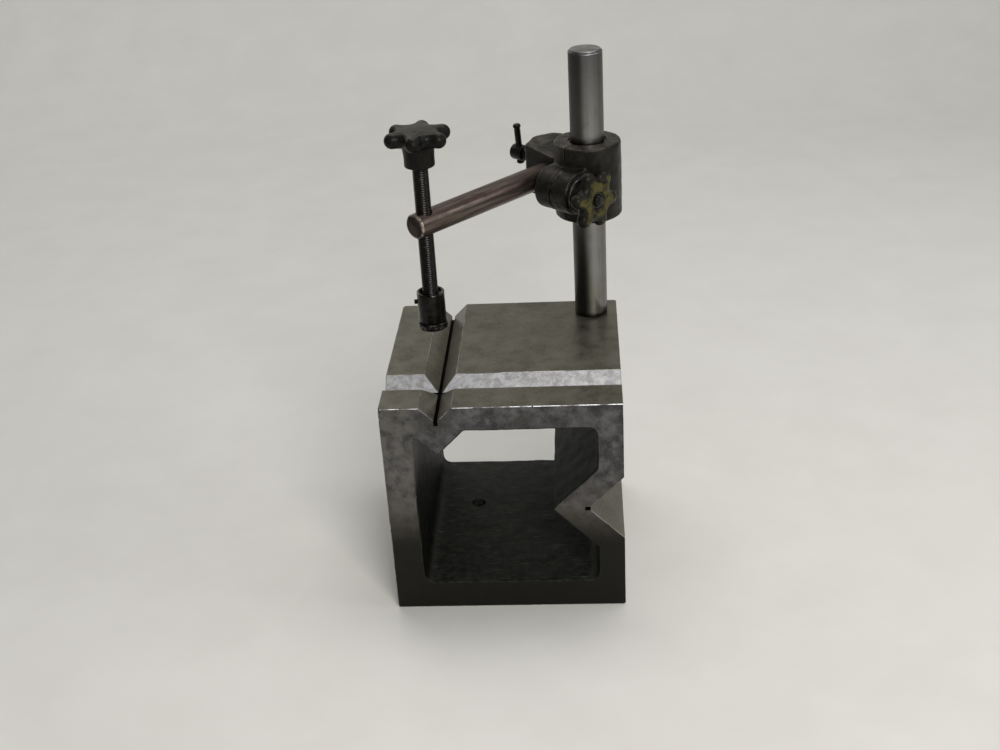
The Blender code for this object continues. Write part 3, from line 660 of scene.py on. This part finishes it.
def knob_paint(name, dark, light, rubbed, share):
    """Black enamel on a cast knob, worn through where hands hold it."""
    look = Look(name, metallic=0.4, coat=0.02, coat_roughness=0.18, specular=0.13)
    patches = look.noise(7 * MM, 5, 0.65, 0.3)
    grain = look.noise(0.8 * MM, 4, 0.6)
    colour = look.blend(grain, 0.4, 0.7, dark, light)
    wear = look.attribute("wear")
    level = look.plus(look.times(wear, 0.6), look.times(patches, 0.55))
    tone = look.blend(grain, 0.45, 0.75, rubbed, tuple(part * 0.55 for part in rubbed))
    colour = look.blend(level, share, share + 0.14, colour, tone)
    chipped = look.times(edge_wear(look, 0.54, 0.62), look.step(patches, 0.5, 0.62))
    colour = look.mix(chipped, colour, (0.12, 0.11, 0.09))
    normal = look.bump(grain, 0.16 * MM, 0.7, look.bump(patches, 0.4 * MM, 0.3))
    return look.finish(colour, look.ranged(patches, 0.3, 0.7, 0.32, 0.50), normal)


def plain_metal(name, colour_low, colour_high, metallic, rough):
    look = Look(name, metallic=metallic)
    patches = look.noise(3 * MM, 4, 0.6)
    fine = look.noise(0.4 * MM, 3)
    colour = look.blend(patches, 0.35, 0.68, colour_low, colour_high)
    shine = look.ranged(fine, 0.2, 0.8, rough - 0.06, rough + 0.08)
    return look.finish(colour, shine, look.bump(fine, 0.04 * MM, 0.5))


ground = ground_iron()
flank = flank_with_painted_highlight()
edge = worn_edge_and_highlight()
inside = cast_inside()
column_look = column_steel()
arm_look = arm_steel()
casting = black_casting()
bored = machined_dark()
screw_look = black_screw()
dark_steel = black_turned()
top_knob_look = knob_paint(
    "knob_black", (0.005, 0.005, 0.0045), (0.016, 0.015, 0.012), (0.043, 0.039, 0.029), 0.76)
clamp_knob_look = knob_paint(
    "knob_worn", (0.008, 0.008, 0.006), (0.022, 0.020, 0.012), (0.088, 0.078, 0.023), 0.80)
bright_steel = plain_metal("plain_steel", (0.30, 0.29, 0.27), (0.50, 0.49, 0.47), 1.0, 0.30)
slot_black = plain_metal("slot_near_black", (0.002, 0.002, 0.002), (0.006, 0.005, 0.004), 1.0, 0.7)
bronze = plain_metal("oiled_bronze", (0.030, 0.022, 0.012), (0.085, 0.060, 0.030), 0.8, 0.38)


# ---------------------------------------------------------------- block

def v_outline(half_width, depth, above):
    relief = RELIEF_WIDTH / 2
    return [
        (-half_width - above, above),
        (-relief, relief - depth),
        (-relief, -depth - RELIEF_DEPTH + relief),
        (relief, -depth - RELIEF_DEPTH + relief),
        (relief, relief - depth),
        (half_width + above, above),
    ]


def resampled(outline, spacing):
    """A closed outline with points no further apart than the spacing."""
    points = []
    for index, point in enumerate(outline):
        here = Vector(point)
        after = Vector(outline[(index + 1) % len(outline)])
        count = max(1, math.ceil((after - here).length / spacing))
        for step in range(count):
            points.append(here.lerp(after, step / count))
    return points


def outline_normals(points):
    normals = []
    for index in range(len(points)):
        along = points[(index + 1) % len(points)] - points[index - 1]
        normals.append(Vector((along.y, -along.x)).normalized())
    return normals


def cavity_cutter():
    """The cored cavity: rough walls and a mouth that rounds off at each end."""
    left = SIDE_WALL - HALF
    right = HALF - TOP_WALL
    top = BLOCK - TOP_WALL
    v_x = V_CENTRE - HALF
    rib = BLOCK - TOP_RIB
    side_rib = HALF - SIDE_RIB
    reach = right - side_rib
    outline = rounded([
        (left, FLOOR, 7 * MM),
        (right, FLOOR, 7 * MM),
        (right, HALF - reach, 4 * MM),
        (side_rib, HALF, 2 * MM),
        (right, HALF + reach, 4 * MM),
        (right, top, 5 * MM),
        (v_x + top - rib, top, 4 * MM),
        (v_x, rib, 2 * MM),
        (left, rib + v_x - left, 2 * MM),
    ], 5)
    mesh_spacing = 2.4 * MM
    points = resampled(outline, mesh_spacing)
    normals = outline_normals(points)
    mouth = 1.0 * MM
    behind_mouth = 1.4 * MM
    places = [-HALF - mouth, -HALF, -HALF + 0.3 * MM, -HALF + 0.7 * MM]
    count = 58
    for step in range(count + 1):
        places.append(-HALF + behind_mouth + (BLOCK - 2 * behind_mouth) * step / count)
    places += [-place for place in reversed(places[:4])]
    bm = bmesh.new()
    rings = []
    for place in places:
        inward = min(max(0, HALF - abs(place)), mouth)
        flare = mouth - math.sqrt(mouth ** 2 - (mouth - inward) ** 2)
        ring = []
        for point, normal in zip(points, normals):
            spot = Vector((point.x, place, point.y))
            rough = 0.42 * MM * noise.noise(spot * 90) + 0.16 * MM * noise.noise(spot * 330)
            out = point + normal * (flare + rough)
            ring.append(bm.verts.new((out.x, place, out.y)))
        rings.append(ring)
    for upper, lower in zip(rings, rings[1:]):
        join_rings(bm, upper, lower)
    bm.faces.new(rings[0])
    bm.faces.new(list(reversed(rings[-1])))
    return painted(closed_object("cavity", bm), inside)


def chip_cutters():
    """Small lumps that break the block's corners and edges where it has been knocked.

    Each chip is a place and a radius in millimetres.
    """
    chips = [
        ((-HALF, -HALF, BLOCK - 1 * MM), 2.1), ((-HALF, -HALF, BLOCK - 9 * MM), 1.0),
        ((-HALF + 14 * MM, -HALF, BLOCK), 0.7), ((-HALF, -HALF, 96 * MM), 0.9),
        ((-HALF, -HALF, 61 * MM), 1.1), ((-HALF, -HALF, 33 * MM), 0.8),
        ((HALF, -HALF, BLOCK - 30 * MM), 0.9), ((HALF, -HALF, 45 * MM), 1.0),
        ((HALF, HALF, BLOCK), 1.4), ((-HALF, HALF, BLOCK), 1.6), ((-HALF, HALF, 70 * MM), 1.1),
        ((HALF, 20 * MM, BLOCK), 0.8), ((-HALF, 12 * MM, BLOCK), 0.9), ((5 * MM, HALF, BLOCK), 0.8),
        ((-HALF, -HALF, 0), 1.5), ((HALF, -HALF, 0), 1.3), ((HALF, HALF, 0), 1.2),
        ((20 * MM, -HALF, BLOCK), 0.6), ((-HALF, -24 * MM, 0), 1.0), ((30 * MM, HALF, 0), 1.1),
    ]
    bm = bmesh.new()
    for index, (centre, size) in enumerate(chips):
        lump = bmesh.ops.create_icosphere(bm, subdivisions=2, radius=1.0)["verts"]
        for vert in lump:
            direction = vert.co.copy()
            swell = 1 + 0.45 * noise.noise(direction * 1.4 + Vector((index * 7.3, 0, 0)))
            vert.co = Vector(centre) + direction * swell * size * MM
    return painted(new_object("chips", bm), inside)


def darken_slots(block):
    """The narrow relief slots at the roots of the V's are painted near black."""
    block.data.materials.append(slot_black)
    index = len(block.data.materials) - 1
    reach = RELIEF_WIDTH / 2 + 0.4 * MM
    root = BLOCK - V_DEPTH + reach
    for face in block.data.polygons:
        x, y, z = face.center
        near_top_v = min(abs(x - V_CENTRE + HALF), abs(y - V_CENTRE + HALF)) < reach
        top_slot = near_top_v and root - RELIEF_DEPTH - 2 * reach < z < root
        side_root = HALF - SIDE_V_DEPTH
        side_slot = abs(z - HALF) < reach and side_root - RELIEF_DEPTH < x < side_root + reach
        if top_slot or side_slot:
            face.material_index = index


def build_block():
    relief = RELIEF_WIDTH / 2
    v_x = V_CENTRE - HALF
    v_bottom = BLOCK - V_DEPTH
    side_bottom = HALF - SIDE_V_DEPTH
    outline = [
        (-HALF, 0), (HALF, 0), (HALF, side_bottom),
        (side_bottom + relief, HALF - relief),
        (side_bottom + relief - RELIEF_DEPTH, HALF - relief),
        (side_bottom + relief - RELIEF_DEPTH, HALF + relief),
        (side_bottom + relief, HALF + relief),
        (HALF, HALF + SIDE_V_DEPTH), (HALF, BLOCK),
        (v_x + V_DEPTH, BLOCK), (v_x + relief, v_bottom + relief),
        (v_x + relief, v_bottom + relief - RELIEF_DEPTH),
        (v_x - relief, v_bottom + relief - RELIEF_DEPTH),
        (v_x - relief, v_bottom + relief), (v_x - V_DEPTH, BLOCK), (-HALF, BLOCK),
    ]
    block = painted(prism("block_casting", outline, BLOCK), ground, edge, flank, inside)
    moved(block, QUARTER_X)
    groove = painted(prism("groove", v_outline(V_DEPTH, V_DEPTH, 1 * MM), BLOCK * 1.1), flank)
    moved(groove, shift(0, V_CENTRE - HALF, BLOCK) @ QUARTER_Z @ QUARTER_X)
    block = cut(block, [groove])
    slots = [material.name for material in block.data.materials]
    bevel = block.modifiers.new("Worn edges", "BEVEL")
    bevel.width = 0.35 * MM
    bevel.segments = 3
    bevel.limit_method = "ANGLE"
    bevel.angle_limit = math.radians(30)
    bevel.material = slots.index(edge.name)
    block = bake(block)
    darken_slots(block)
    column_x, column_y = COLUMN_PLACE
    spigot = painted(rod("spigot_hole", SPIGOT_HOLE_RADIUS, BLOCK - 13.3 * MM, BLOCK + MM), bored)
    moved(spigot, shift(column_x, column_y, 0))
    drain = painted(rod("drain_hole", 5 * MM, -MM, FLOOR + 2 * MM), bored)
    moved(drain, Matrix.Translation(DRAIN_PLACE))
    grub = painted(rod("grub_hole", 2.8 * MM, 0, HALF - column_y + MM), bored)
    moved(grub, shift(column_x, column_y, BLOCK - 7 * MM) @ LAY_ALONG_Y)
    block = cut(block, [cavity_cutter(), spigot, drain, grub, chip_cutters()])
    finish_piece(block, "block", "box_block", angle=30, weighted=True)


# ---------------------------------------------------------------- column and arm

def mark(obj, name, rule):
    """Stores one number per vertex for the materials."""
    layer = obj.data.attributes.new(name, "FLOAT", "POINT")
    layer.data.foreach_set("value", [float(rule(vert.co)) for vert in obj.data.vertices])


def build_column():
    low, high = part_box("column")
    radius = COLUMN_RADIUS
    spigot = 6 * MM
    foot = BLOCK + GAP
    column = turned("column_bar", [
        (0, high.z, 0),
        (radius - 1.5 * MM, high.z, 0.5 * MM),
        (radius, high.z - 1.5 * MM, 0.8 * MM),
        (radius, foot, 0.35 * MM),
        (spigot, foot, 0),
        (spigot, low.z + MM, 0.3 * MM),
        (5 * MM, low.z, 0.2 * MM),
        (0, low.z, 0),
    ], 128)
    axis = shift(*COLUMN_PLACE, 0)
    mount(column, column_look, "block", "column", axis)


def build_arm():
    radius = ARM_RADIUS
    front = -129.5 * MM
    back = 34 * MM
    arm = turned("arm_bar", [
        (0, back, 0),
        (radius - 1.6 * MM, back, 0),
        (radius - 0.9 * MM, back, 0.3 * MM),
        (radius, back - 0.9 * MM, 0.5 * MM),
        (radius, back - 2 * MM, 0),
        (radius, front + 2 * MM, 0),
        (radius, front + 0.9 * MM, 0.5 * MM),
        (radius - 0.9 * MM, front, 0.3 * MM),
        (radius - 1.6 * MM, front, 0),
        (0, front, 0),
    ], 96)

    def from_end(co):
        return min(abs(co.z - front), abs(co.z - back))

    # The rim mark carries a painted highlight in the arm's material.
    mark(arm, "rim", lambda co: from_end(co) < 1.1 * MM and co.xy.length > radius - 1.2 * MM)
    mark(arm, "end", lambda co: from_end(co) < 0.1 * MM and co.xy.length < radius - 1.3 * MM)
    painted(arm, arm_look)
    moved(arm, ARM_AXIS)
    hole = painted(rod("arm_hole", CLAMP_SCREW_RADIUS + GAP, 230 * MM, 265 * MM), bored)
    moved(hole, SCREW_AXIS)
    arm = cut(arm, [hole])
    finish_piece(arm, "arm", "arm", ARM_AXIS)


# ---------------------------------------------------------------- bracket

def build_bracket():
    bottom = 223 * MM
    top = 273 * MM
    radius = 22 * MM
    body = turned("bracket_iron", [
        (0, top, 0), (radius, top, 1.2 * MM), (radius, bottom, 1.2 * MM), (0, bottom, 0)], 96)
    lug = prism("lug", rounded([
        (-45.5 * MM, -12 * MM, 2 * MM),
        (-8 * MM, -12 * MM, 0),
        (-8 * MM, 16 * MM, 0),
        (-30 * MM, 25 * MM, 10 * MM),
        (-48 * MM, 23 * MM, 13 * MM),
        (-51 * MM, 2 * MM, 12 * MM),
    ], 8), 45 * MM)
    lug_middle = 253.5 * MM
    moved(lug, shift(0, 0, lug_middle))
    slope = prism("slope", [
        (-60 * MM, -40 * MM), (40 * MM, -40 * MM), (40 * MM, 60 * MM), (-60 * MM, 60 * MM)], 40 * MM)
    moved(slope, shift(-46 * MM, 0, 264 * MM)
          @ Matrix.Rotation(math.radians(9), 4, "Y") @ shift(0, 0, 20 * MM))
    lug = cut(lug, [slope])
    ears_outline = arc((0, 246 * MM), 14 * MM, 90, 270, 32)
    ears_outline += [(15 * MM, 232 * MM), (15 * MM, 260 * MM)]
    ears = prism("ears", ears_outline, 27 * MM)
    moved(ears, shift(0.5 * MM, EARS_Y, 0) @ QUARTER_Z @ QUARTER_X)
    bm = bmesh.new()
    for part in (body, lug, ears):
        bm.from_mesh(part.data)
        bpy.data.objects.remove(part, do_unlink=True)
    bracket = new_object("bracket_iron", bm)
    remesh = bracket.modifiers.new("Cast as one", "REMESH")
    remesh.mode = "VOXEL"
    remesh.voxel_size = 0.6 * MM
    smooth = bracket.modifiers.new("Soften", "SMOOTH")
    smooth.factor = 0.5
    smooth.iterations = 7
    bracket = bake(bracket)
    roughen(bracket, lambda co: (0.16 * noise.noise(co * 260) + 0.22 * noise.noise(co * 90)) * MM)
    painted(bracket, casting)
    moved(bracket, BRACKET)
    gap = 0.6 * MM
    slit = prism("slit", [(-gap, -40 * MM), (gap, -40 * MM), (gap, 0), (-gap, 0)], 60 * MM)
    moved(slit, BRACKET @ shift(0, 0, 248 * MM))
    cutters = [
        moved(rod("sleeve_bore", 12.8 * MM, 220 * MM, 276 * MM, 96), BRACKET),
        slit,
        moved(rod("arm_bore", 8.3 * MM, -14 * MM, 32 * MM, 72), ARM_AXIS),
        moved(rod("stud_bore", THREAD_RADIUS + GAP, -15 * MM, 16 * MM), STUD_AXIS),
        moved(rod("pin_bore", 1.55 * MM, 225 * MM, 248.3 * MM, 24),
              BRACKET @ shift(-6.5 * MM, EARS_Y, 0)),
        moved(rod("t_bore", THREAD_RADIUS + GAP, -60 * MM, ARM_X), T_AXIS),
        moved(rod("spot_face", 13 * MM, 14 * MM, 28 * MM, 72), STUD_AXIS),
        moved(rod("far_spot", 9 * MM, -18 * MM, -12.6 * MM, 72), STUD_AXIS),
    ]
    for cutter in cutters:
        painted(cutter, bored)
    bracket = cut(bracket, cutters)
    finish_piece(bracket, "bracket", "bracket_casting", BRACKET, 40)


# ---------------------------------------------------------------- knobs

def star_points(radius, phase):
    """Round lobes joined by hollows, as an outline. Phase is the first lobe's angle in degrees."""
    lobes = 6
    spacing = 360 // lobes
    lobe = 4.8 * MM
    hollow = 4.6 * MM
    centre = radius - lobe
    half_spacing = centre * math.sin(math.pi / lobes)
    rise = math.sqrt((lobe + hollow) ** 2 - half_spacing ** 2)
    dip_centre = centre * math.cos(math.pi / lobes) + rise
    meet = math.degrees(math.atan2(half_spacing, rise))
    points = []
    for index in range(lobes):
        middle = phase + index * spacing
        between = middle + spacing // 2
        reach = spacing // 2 + meet
        points += arc(polar(centre, middle), lobe, middle - reach, middle + reach, 20)[1:-1]
        dip = polar(dip_centre, between)
        points += arc(dip, hollow, between + 180 + meet, between + 180 - meet, 8)
    return [Vector(point) for point in points]


def star_knob(name, radius, phase, thickness, hub, bore, bore_top, face):
    """A cast star knob standing on z = 0: hub below, lobed head above, bored from below.

    Face holds (radius, height above the head's middle) rings of the outer face, from its centre out.
    """
    outline = star_points(radius, phase)
    normals = outline_normals(outline)
    middle = hub + thickness / 2
    rings = [("round", radius, middle + height) for radius, height in face]
    edge_radius = 4.3 * MM
    steps = 10
    for step in range(steps + 1):
        angle = math.pi / 2 - math.pi * step / steps
        inset = edge_radius * (1 - math.cos(angle))
        rings.append(("star", inset, middle + thickness / 2 * math.sin(angle)))
    rings += [
        ("round", 11.0 * MM, middle - thickness / 2 - 0.2 * MM),
        ("round", 10.3 * MM, middle - thickness / 2 - 0.9 * MM),
        ("round", 9.6 * MM, hub * 0.72),
        ("round", 9.3 * MM, hub * 0.42),
        ("round", 9.4 * MM, 1.0 * MM),
        ("round", 9.2 * MM, 0.35 * MM),
        ("round", 8.6 * MM, 0),
        ("round", bore + 0.4 * MM, 0),
        ("round", bore, 0.4 * MM),
        ("round", bore, bore_top),
    ]
    bm = bmesh.new()
    wear = bm.verts.layers.float.new("wear")
    loops = []
    for kind, size, height in rings:
        if kind == "round" and size < JUST_ABOVE_ZERO:
            vert = bm.verts.new((0, 0, height))
            vert[wear] = 1
            loops.append([vert])
            continue
        loop = []
        for point, normal in zip(outline, normals):
            spot = point.normalized() * size if kind == "round" else point - normal * size
            vert = bm.verts.new((spot.x, spot.y, height))
            raised = (height - middle) / (thickness / 2)
            vert[wear] = min(1, max(0, raised * 2.2 - 1.1)) if height > middle else 0
            loop.append(vert)
        loops.append(loop)
    for upper, lower in zip(loops, loops[1:]):
        join_rings(bm, upper, lower)
    if len(loops[0]) == 1:
        bm.faces.new(loops[-1])
    else:
        join_rings(bm, loops[-1], loops[0])
    knob = closed_object(name, bm)

    def swell(co):
        cast = co.z > hub * 0.2 and co.xy.length > bore + 0.8 * MM
        return 0.10 * MM * noise.noise(co * 230) if cast else 0

    roughen(knob, swell)
    return knob


def build_clamp_knob():
    bottom = 16.3 * MM
    face = [(5.3 * MM, 3.6 * MM), (5.8 * MM, 4.1 * MM), (7.2 * MM, 4.35 * MM), (9.5 * MM, 4.4 * MM)]
    knob = star_knob("clamp_star_knob", 20 * MM, 20, 8.6 * MM, 5.4 * MM, 5.3 * MM, 6 * MM, face)
    moved(knob, STUD_AXIS @ shift(0, 0, bottom))
    painted(knob, clamp_knob_look)
    finish_piece(knob, "clamp_knob", "clamp_knob", STUD_AXIS, 50)


def build_top_knob(bottom):
    face = [(0, 5.4 * MM), (3.5 * MM, 5.35 * MM), (7 * MM, 5.1 * MM), (9.5 * MM, 4.8 * MM)]
    knob = star_knob("top_star_knob", 21 * MM, 8, 9.4 * MM, 13.6 * MM, 6.6 * MM, 17 * MM, face)
    moved(knob, SCREW_AXIS @ shift(0, 0, bottom))
    painted(knob, top_knob_look)
    finish_piece(knob, "screw", "top_knob", SCREW_AXIS, 50)


# ---------------------------------------------------------------- screws and shoe

def build_clamp_screw():
    low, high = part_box("clamp_screw")
    plain = [(RETAINER_HEIGHT - 2 * MM, RETAINER_HEIGHT + 2 * MM, 3.8 * MM)]
    thread = threaded("clamp_screw_thread", low.z, high.z, CLAMP_SCREW_RADIUS, CLAMP_SCREW_PITCH, plain)
    mount(thread, screw_look, "screw", "clamp_screw", SCREW_AXIS, 50)


def build_stud():
    stud = threaded("clamp_stud_thread", -12.5 * MM, 31.6 * MM)
    mount(stud, screw_look, "bracket", "clamp_stud", STUD_AXIS, 50)


def build_t_screw():
    radius = 5.5 * MM
    shoulder = -66 * MM
    end = -76 * MM
    pad = 4 * MM
    head = turned("t_screw_head", [
        (0, shoulder + 0.6 * MM, 0),
        (3.6 * MM, shoulder + 0.6 * MM, 0),
        (radius, shoulder, 0.5 * MM),
        (radius, end, 1.1 * MM),
        (0, end, 0),
    ], 72)
    stem = threaded("t_screw_thread", -67 * MM, ARM_X - ARM_RADIUS - pad)
    boolean(head, stem, "UNION")
    head = bake(head)
    bpy.data.objects.remove(stem, do_unlink=True)
    painted(head, screw_look)
    moved(head, T_AXIS)
    hole = painted(rod("bar_hole", 2.5 * MM, -10 * MM, 10 * MM, 32), screw_look)
    moved(hole, BAR_AXIS)
    head = cut(head, [hole])
    finish_piece(head, "t_screw", "t_screw", T_AXIS, 50)


def build_tommy_bar():
    low = -8.0 * MM
    high = 20.6 * MM
    shaft = 2.2 * MM
    knob = 2.7 * MM
    bar = turned("tommy_bar_pin", [
        (0, high, 0),
        (knob, high, 1.1 * MM),
        (knob, high - 2.0 * MM, 0.3 * MM),
        (shaft, high - 2.6 * MM, 0.4 * MM),
        (shaft, low + 2.6 * MM, 0.4 * MM),
        (knob, low + 2.0 * MM, 0.3 * MM),
        (knob, low, 1.1 * MM),
        (0, low, 0),
    ], 48, 4)
    mount(bar, dark_steel, "tommy_bar", "tommy_bar", BAR_AXIS)


def build_shoe():
    low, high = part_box("shoe_socket")
    rim = high.z
    floor = low.z
    radius = 8.8 * MM
    wall = 7.0 * MM
    seat = 6.6 * MM
    ledge = 184.9 * MM
    screw_hole = CLAMP_SCREW_RADIUS + GAP
    socket = turned("shoe_socket_body", [
        (radius, rim, 0.5 * MM),
        (radius, rim - 0.9 * MM, 0),
        (radius, floor, 0.3 * MM),
        (seat, floor, 0),
        (seat, ledge, 0),
        (screw_hole, ledge, 0),
        (screw_hole, rim - 3 * MM, 0),
        (wall, rim - 2 * MM, 0),
        (wall, rim, 0.35 * MM),
    ], 96)
    # The rim mark carries a painted highlight in the material.
    mark(socket, "rim", lambda co: co.z > rim - 0.6 * MM and co.xy.length > wall + 0.2 * MM)
    turn = Matrix.Rotation(math.radians(227), 4, "Z")
    retainer = SCREW_AXIS @ shift(0, 0, RETAINER_HEIGHT) @ turn @ LAY_ALONG_X
    moved(socket, SCREW_AXIS)
    painted(socket, dark_steel)
    hole = painted(moved(rod("retainer_hole", 1.8 * MM, 0, 12 * MM, 32), retainer), dark_steel)
    socket = cut(socket, [hole])
    finish_piece(socket, "shoe", "shoe_socket", SCREW_AXIS)

    base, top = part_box("shoe_foot")
    shoulder = 181.3 * MM
    ball_seat = 2.8 * MM
    spigot = 6.3 * MM
    flange = 9.5 * MM
    foot = turned("shoe_foot_disc", [
        (0, shoulder, 0),
        (ball_seat, shoulder, 0),
        (ball_seat, top.z, 0),
        (spigot, top.z, 0.2 * MM),
        (spigot, shoulder, 0),
        (flange, shoulder, 0.9 * MM),
        (flange, base.z, 0.7 * MM),
        (0, base.z, 0),
    ], 96)
    # The rim mark carries a painted highlight in the material.
    mark(foot, "rim", lambda co: abs(co.xy.length - 9.2 * MM) < 0.4 * MM)
    mount(foot, dark_steel, "shoe", "shoe_foot", SCREW_AXIS)

    outer = 10.7 * MM
    inner = 4.1 * MM
    screw_radius = 1.5 * MM
    screw = turned("retaining_screw", [
        (0, outer, 0), (screw_radius, outer, 0.4 * MM), (screw_radius, inner, 0.3 * MM), (0, inner, 0),
    ], 40)
    slot = prism("slot", [
        (-3 * MM, -0.3 * MM), (3 * MM, -0.3 * MM), (3 * MM, 0.3 * MM), (-3 * MM, 0.3 * MM)], 2 * MM)
    moved(slot, shift(0, 0, 10.8 * MM))
    painted(screw, dark_steel)
    painted(slot, dark_steel)
    screw = cut(screw, [slot])
    moved(screw, retainer)
    finish_piece(screw, "shoe", "shoe_retaining_screw", retainer)


def build_washer():
    outer = 12 * MM
    hole = THREAD_RADIUS + GAP
    front = 16 * MM
    back = 14.3 * MM
    washer = turned("clamp_washer_disc", [
        (outer, front, 0.35 * MM), (outer, back, 0.35 * MM), (hole, back, 0), (hole, front, 0)], 96)
    mount(washer, bored, "washer", "clamp_washer", STUD_AXIS)


build_block()
build_column()
build_arm()
build_bracket()
build_clamp_knob()
build_top_knob(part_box("top_knob_bush")[0].z - GAP)
build_clamp_screw()
build_stud()
build_t_screw()
build_tommy_bar()
build_shoe()
build_washer()

for name, material in {
    "column_grub_screw": dark_steel, "split_sleeve": bronze, "stud_pin": bright_steel,
    "clamp_knob_bush": bored, "t_screw_pad": bronze, "top_knob_bush": bored,
    "top_knob_pin": bright_steel, "thrust_ball": bright_steel,
}.items():
    painted(nodes[name], material)


# ---------------------------------------------------------------- floor, light, camera

def build_stage():
    """A sheet that lies flat under the object and sweeps up behind it."""
    bm = bmesh.new()
    reach = 6.0
    bend_start = 0.9
    bend = 0.5
    sweep = 0.9
    steps = 16
    below_object = 0.2 * MM
    profile = [(-reach, 0.0), (bend_start, 0.0)]
    for step in range(1, steps + 1):
        angle = math.pi / 2 * step / steps * sweep
        profile.append((bend_start + bend * math.sin(angle), bend * (1 - math.cos(angle))))
    profile.append((1.75, 2.6))
    rows = []
    for y, z in profile:
        rows.append([bm.verts.new((x, y, z)) for x in (-reach, reach)])
    for first, second in zip(rows, rows[1:]):
        bm.faces.new((first[0], first[1], second[1], second[0]))
    bmesh.ops.translate(bm, vec=(0, 0, -below_object), verts=bm.verts)
    floor = add(new_object("studio_floor", bm))
    floor.data.shade_smooth()
    look = Look("studio_floor")
    cloth = look.noise(60 * MM, 4)
    colour = look.mix(cloth, (0.60, 0.585, 0.54), (0.68, 0.665, 0.62))
    painted(floor, look.finish(colour, 0.8))


def area_light(name, place, target, size, power, colour):
    light = bpy.data.lights.new(name, "AREA")
    light.shape = "RECTANGLE"
    light.size, light.size_y = size
    light.energy = power
    light.color = colour
    lamp = add(bpy.data.objects.new(name, light))
    lamp.location = place
    lamp.rotation_euler = (Vector(target) - Vector(place)).to_track_quat("-Z", "Y").to_euler()


def build_light():
    world = bpy.data.worlds.new("studio")
    bpy.context.scene.world = world
    world.use_nodes = True
    world.node_tree.nodes["Background"].inputs["Color"].default_value = (0.93, 0.95, 1.0, 1)
    world.node_tree.nodes["Background"].inputs["Strength"].default_value = 0.25
    target = (0, 0, 0.16)
    area_light("key", (0.42, -1.15, 0.95), target, (0.55, 0.55), 13, (1.0, 0.985, 0.95))
    area_light("ceiling", (0.15, 0.35, 1.7), target, (1.2, 0.6), 12, (0.98, 0.99, 1.0))
    area_light("back", (-0.9, 1.3, 0.9), target, (1.0, 1.0), 4, (1.0, 0.99, 0.97))
    area_light("side", (1.3, -0.1, 0.9), target, (0.6, 0.6), 3.6, (0.97, 0.98, 1.0))


def build_camera():
    camera = bpy.data.cameras.new("camera")
    camera.lens = 48.92
    camera.sensor_width = 36
    obj = add(bpy.data.objects.new("camera", camera))
    right = Vector((0.9975, 0.0456, -0.0537)).normalized()
    forward = Vector((-0.0654, 0.8818, -0.4670)).normalized()
    up = right.cross(forward).normalized()
    turn = Matrix((right, up, -forward)).transposed().to_4x4()
    place = Vector((0.054843, -0.794042, 0.552810))
    obj.matrix_world = Matrix.Translation(place) @ turn
    camera.clip_start = 0.01
    bpy.context.scene.camera = obj


build_stage()
build_light()
build_camera()
bpy.context.scene.view_settings.view_transform = "Standard"
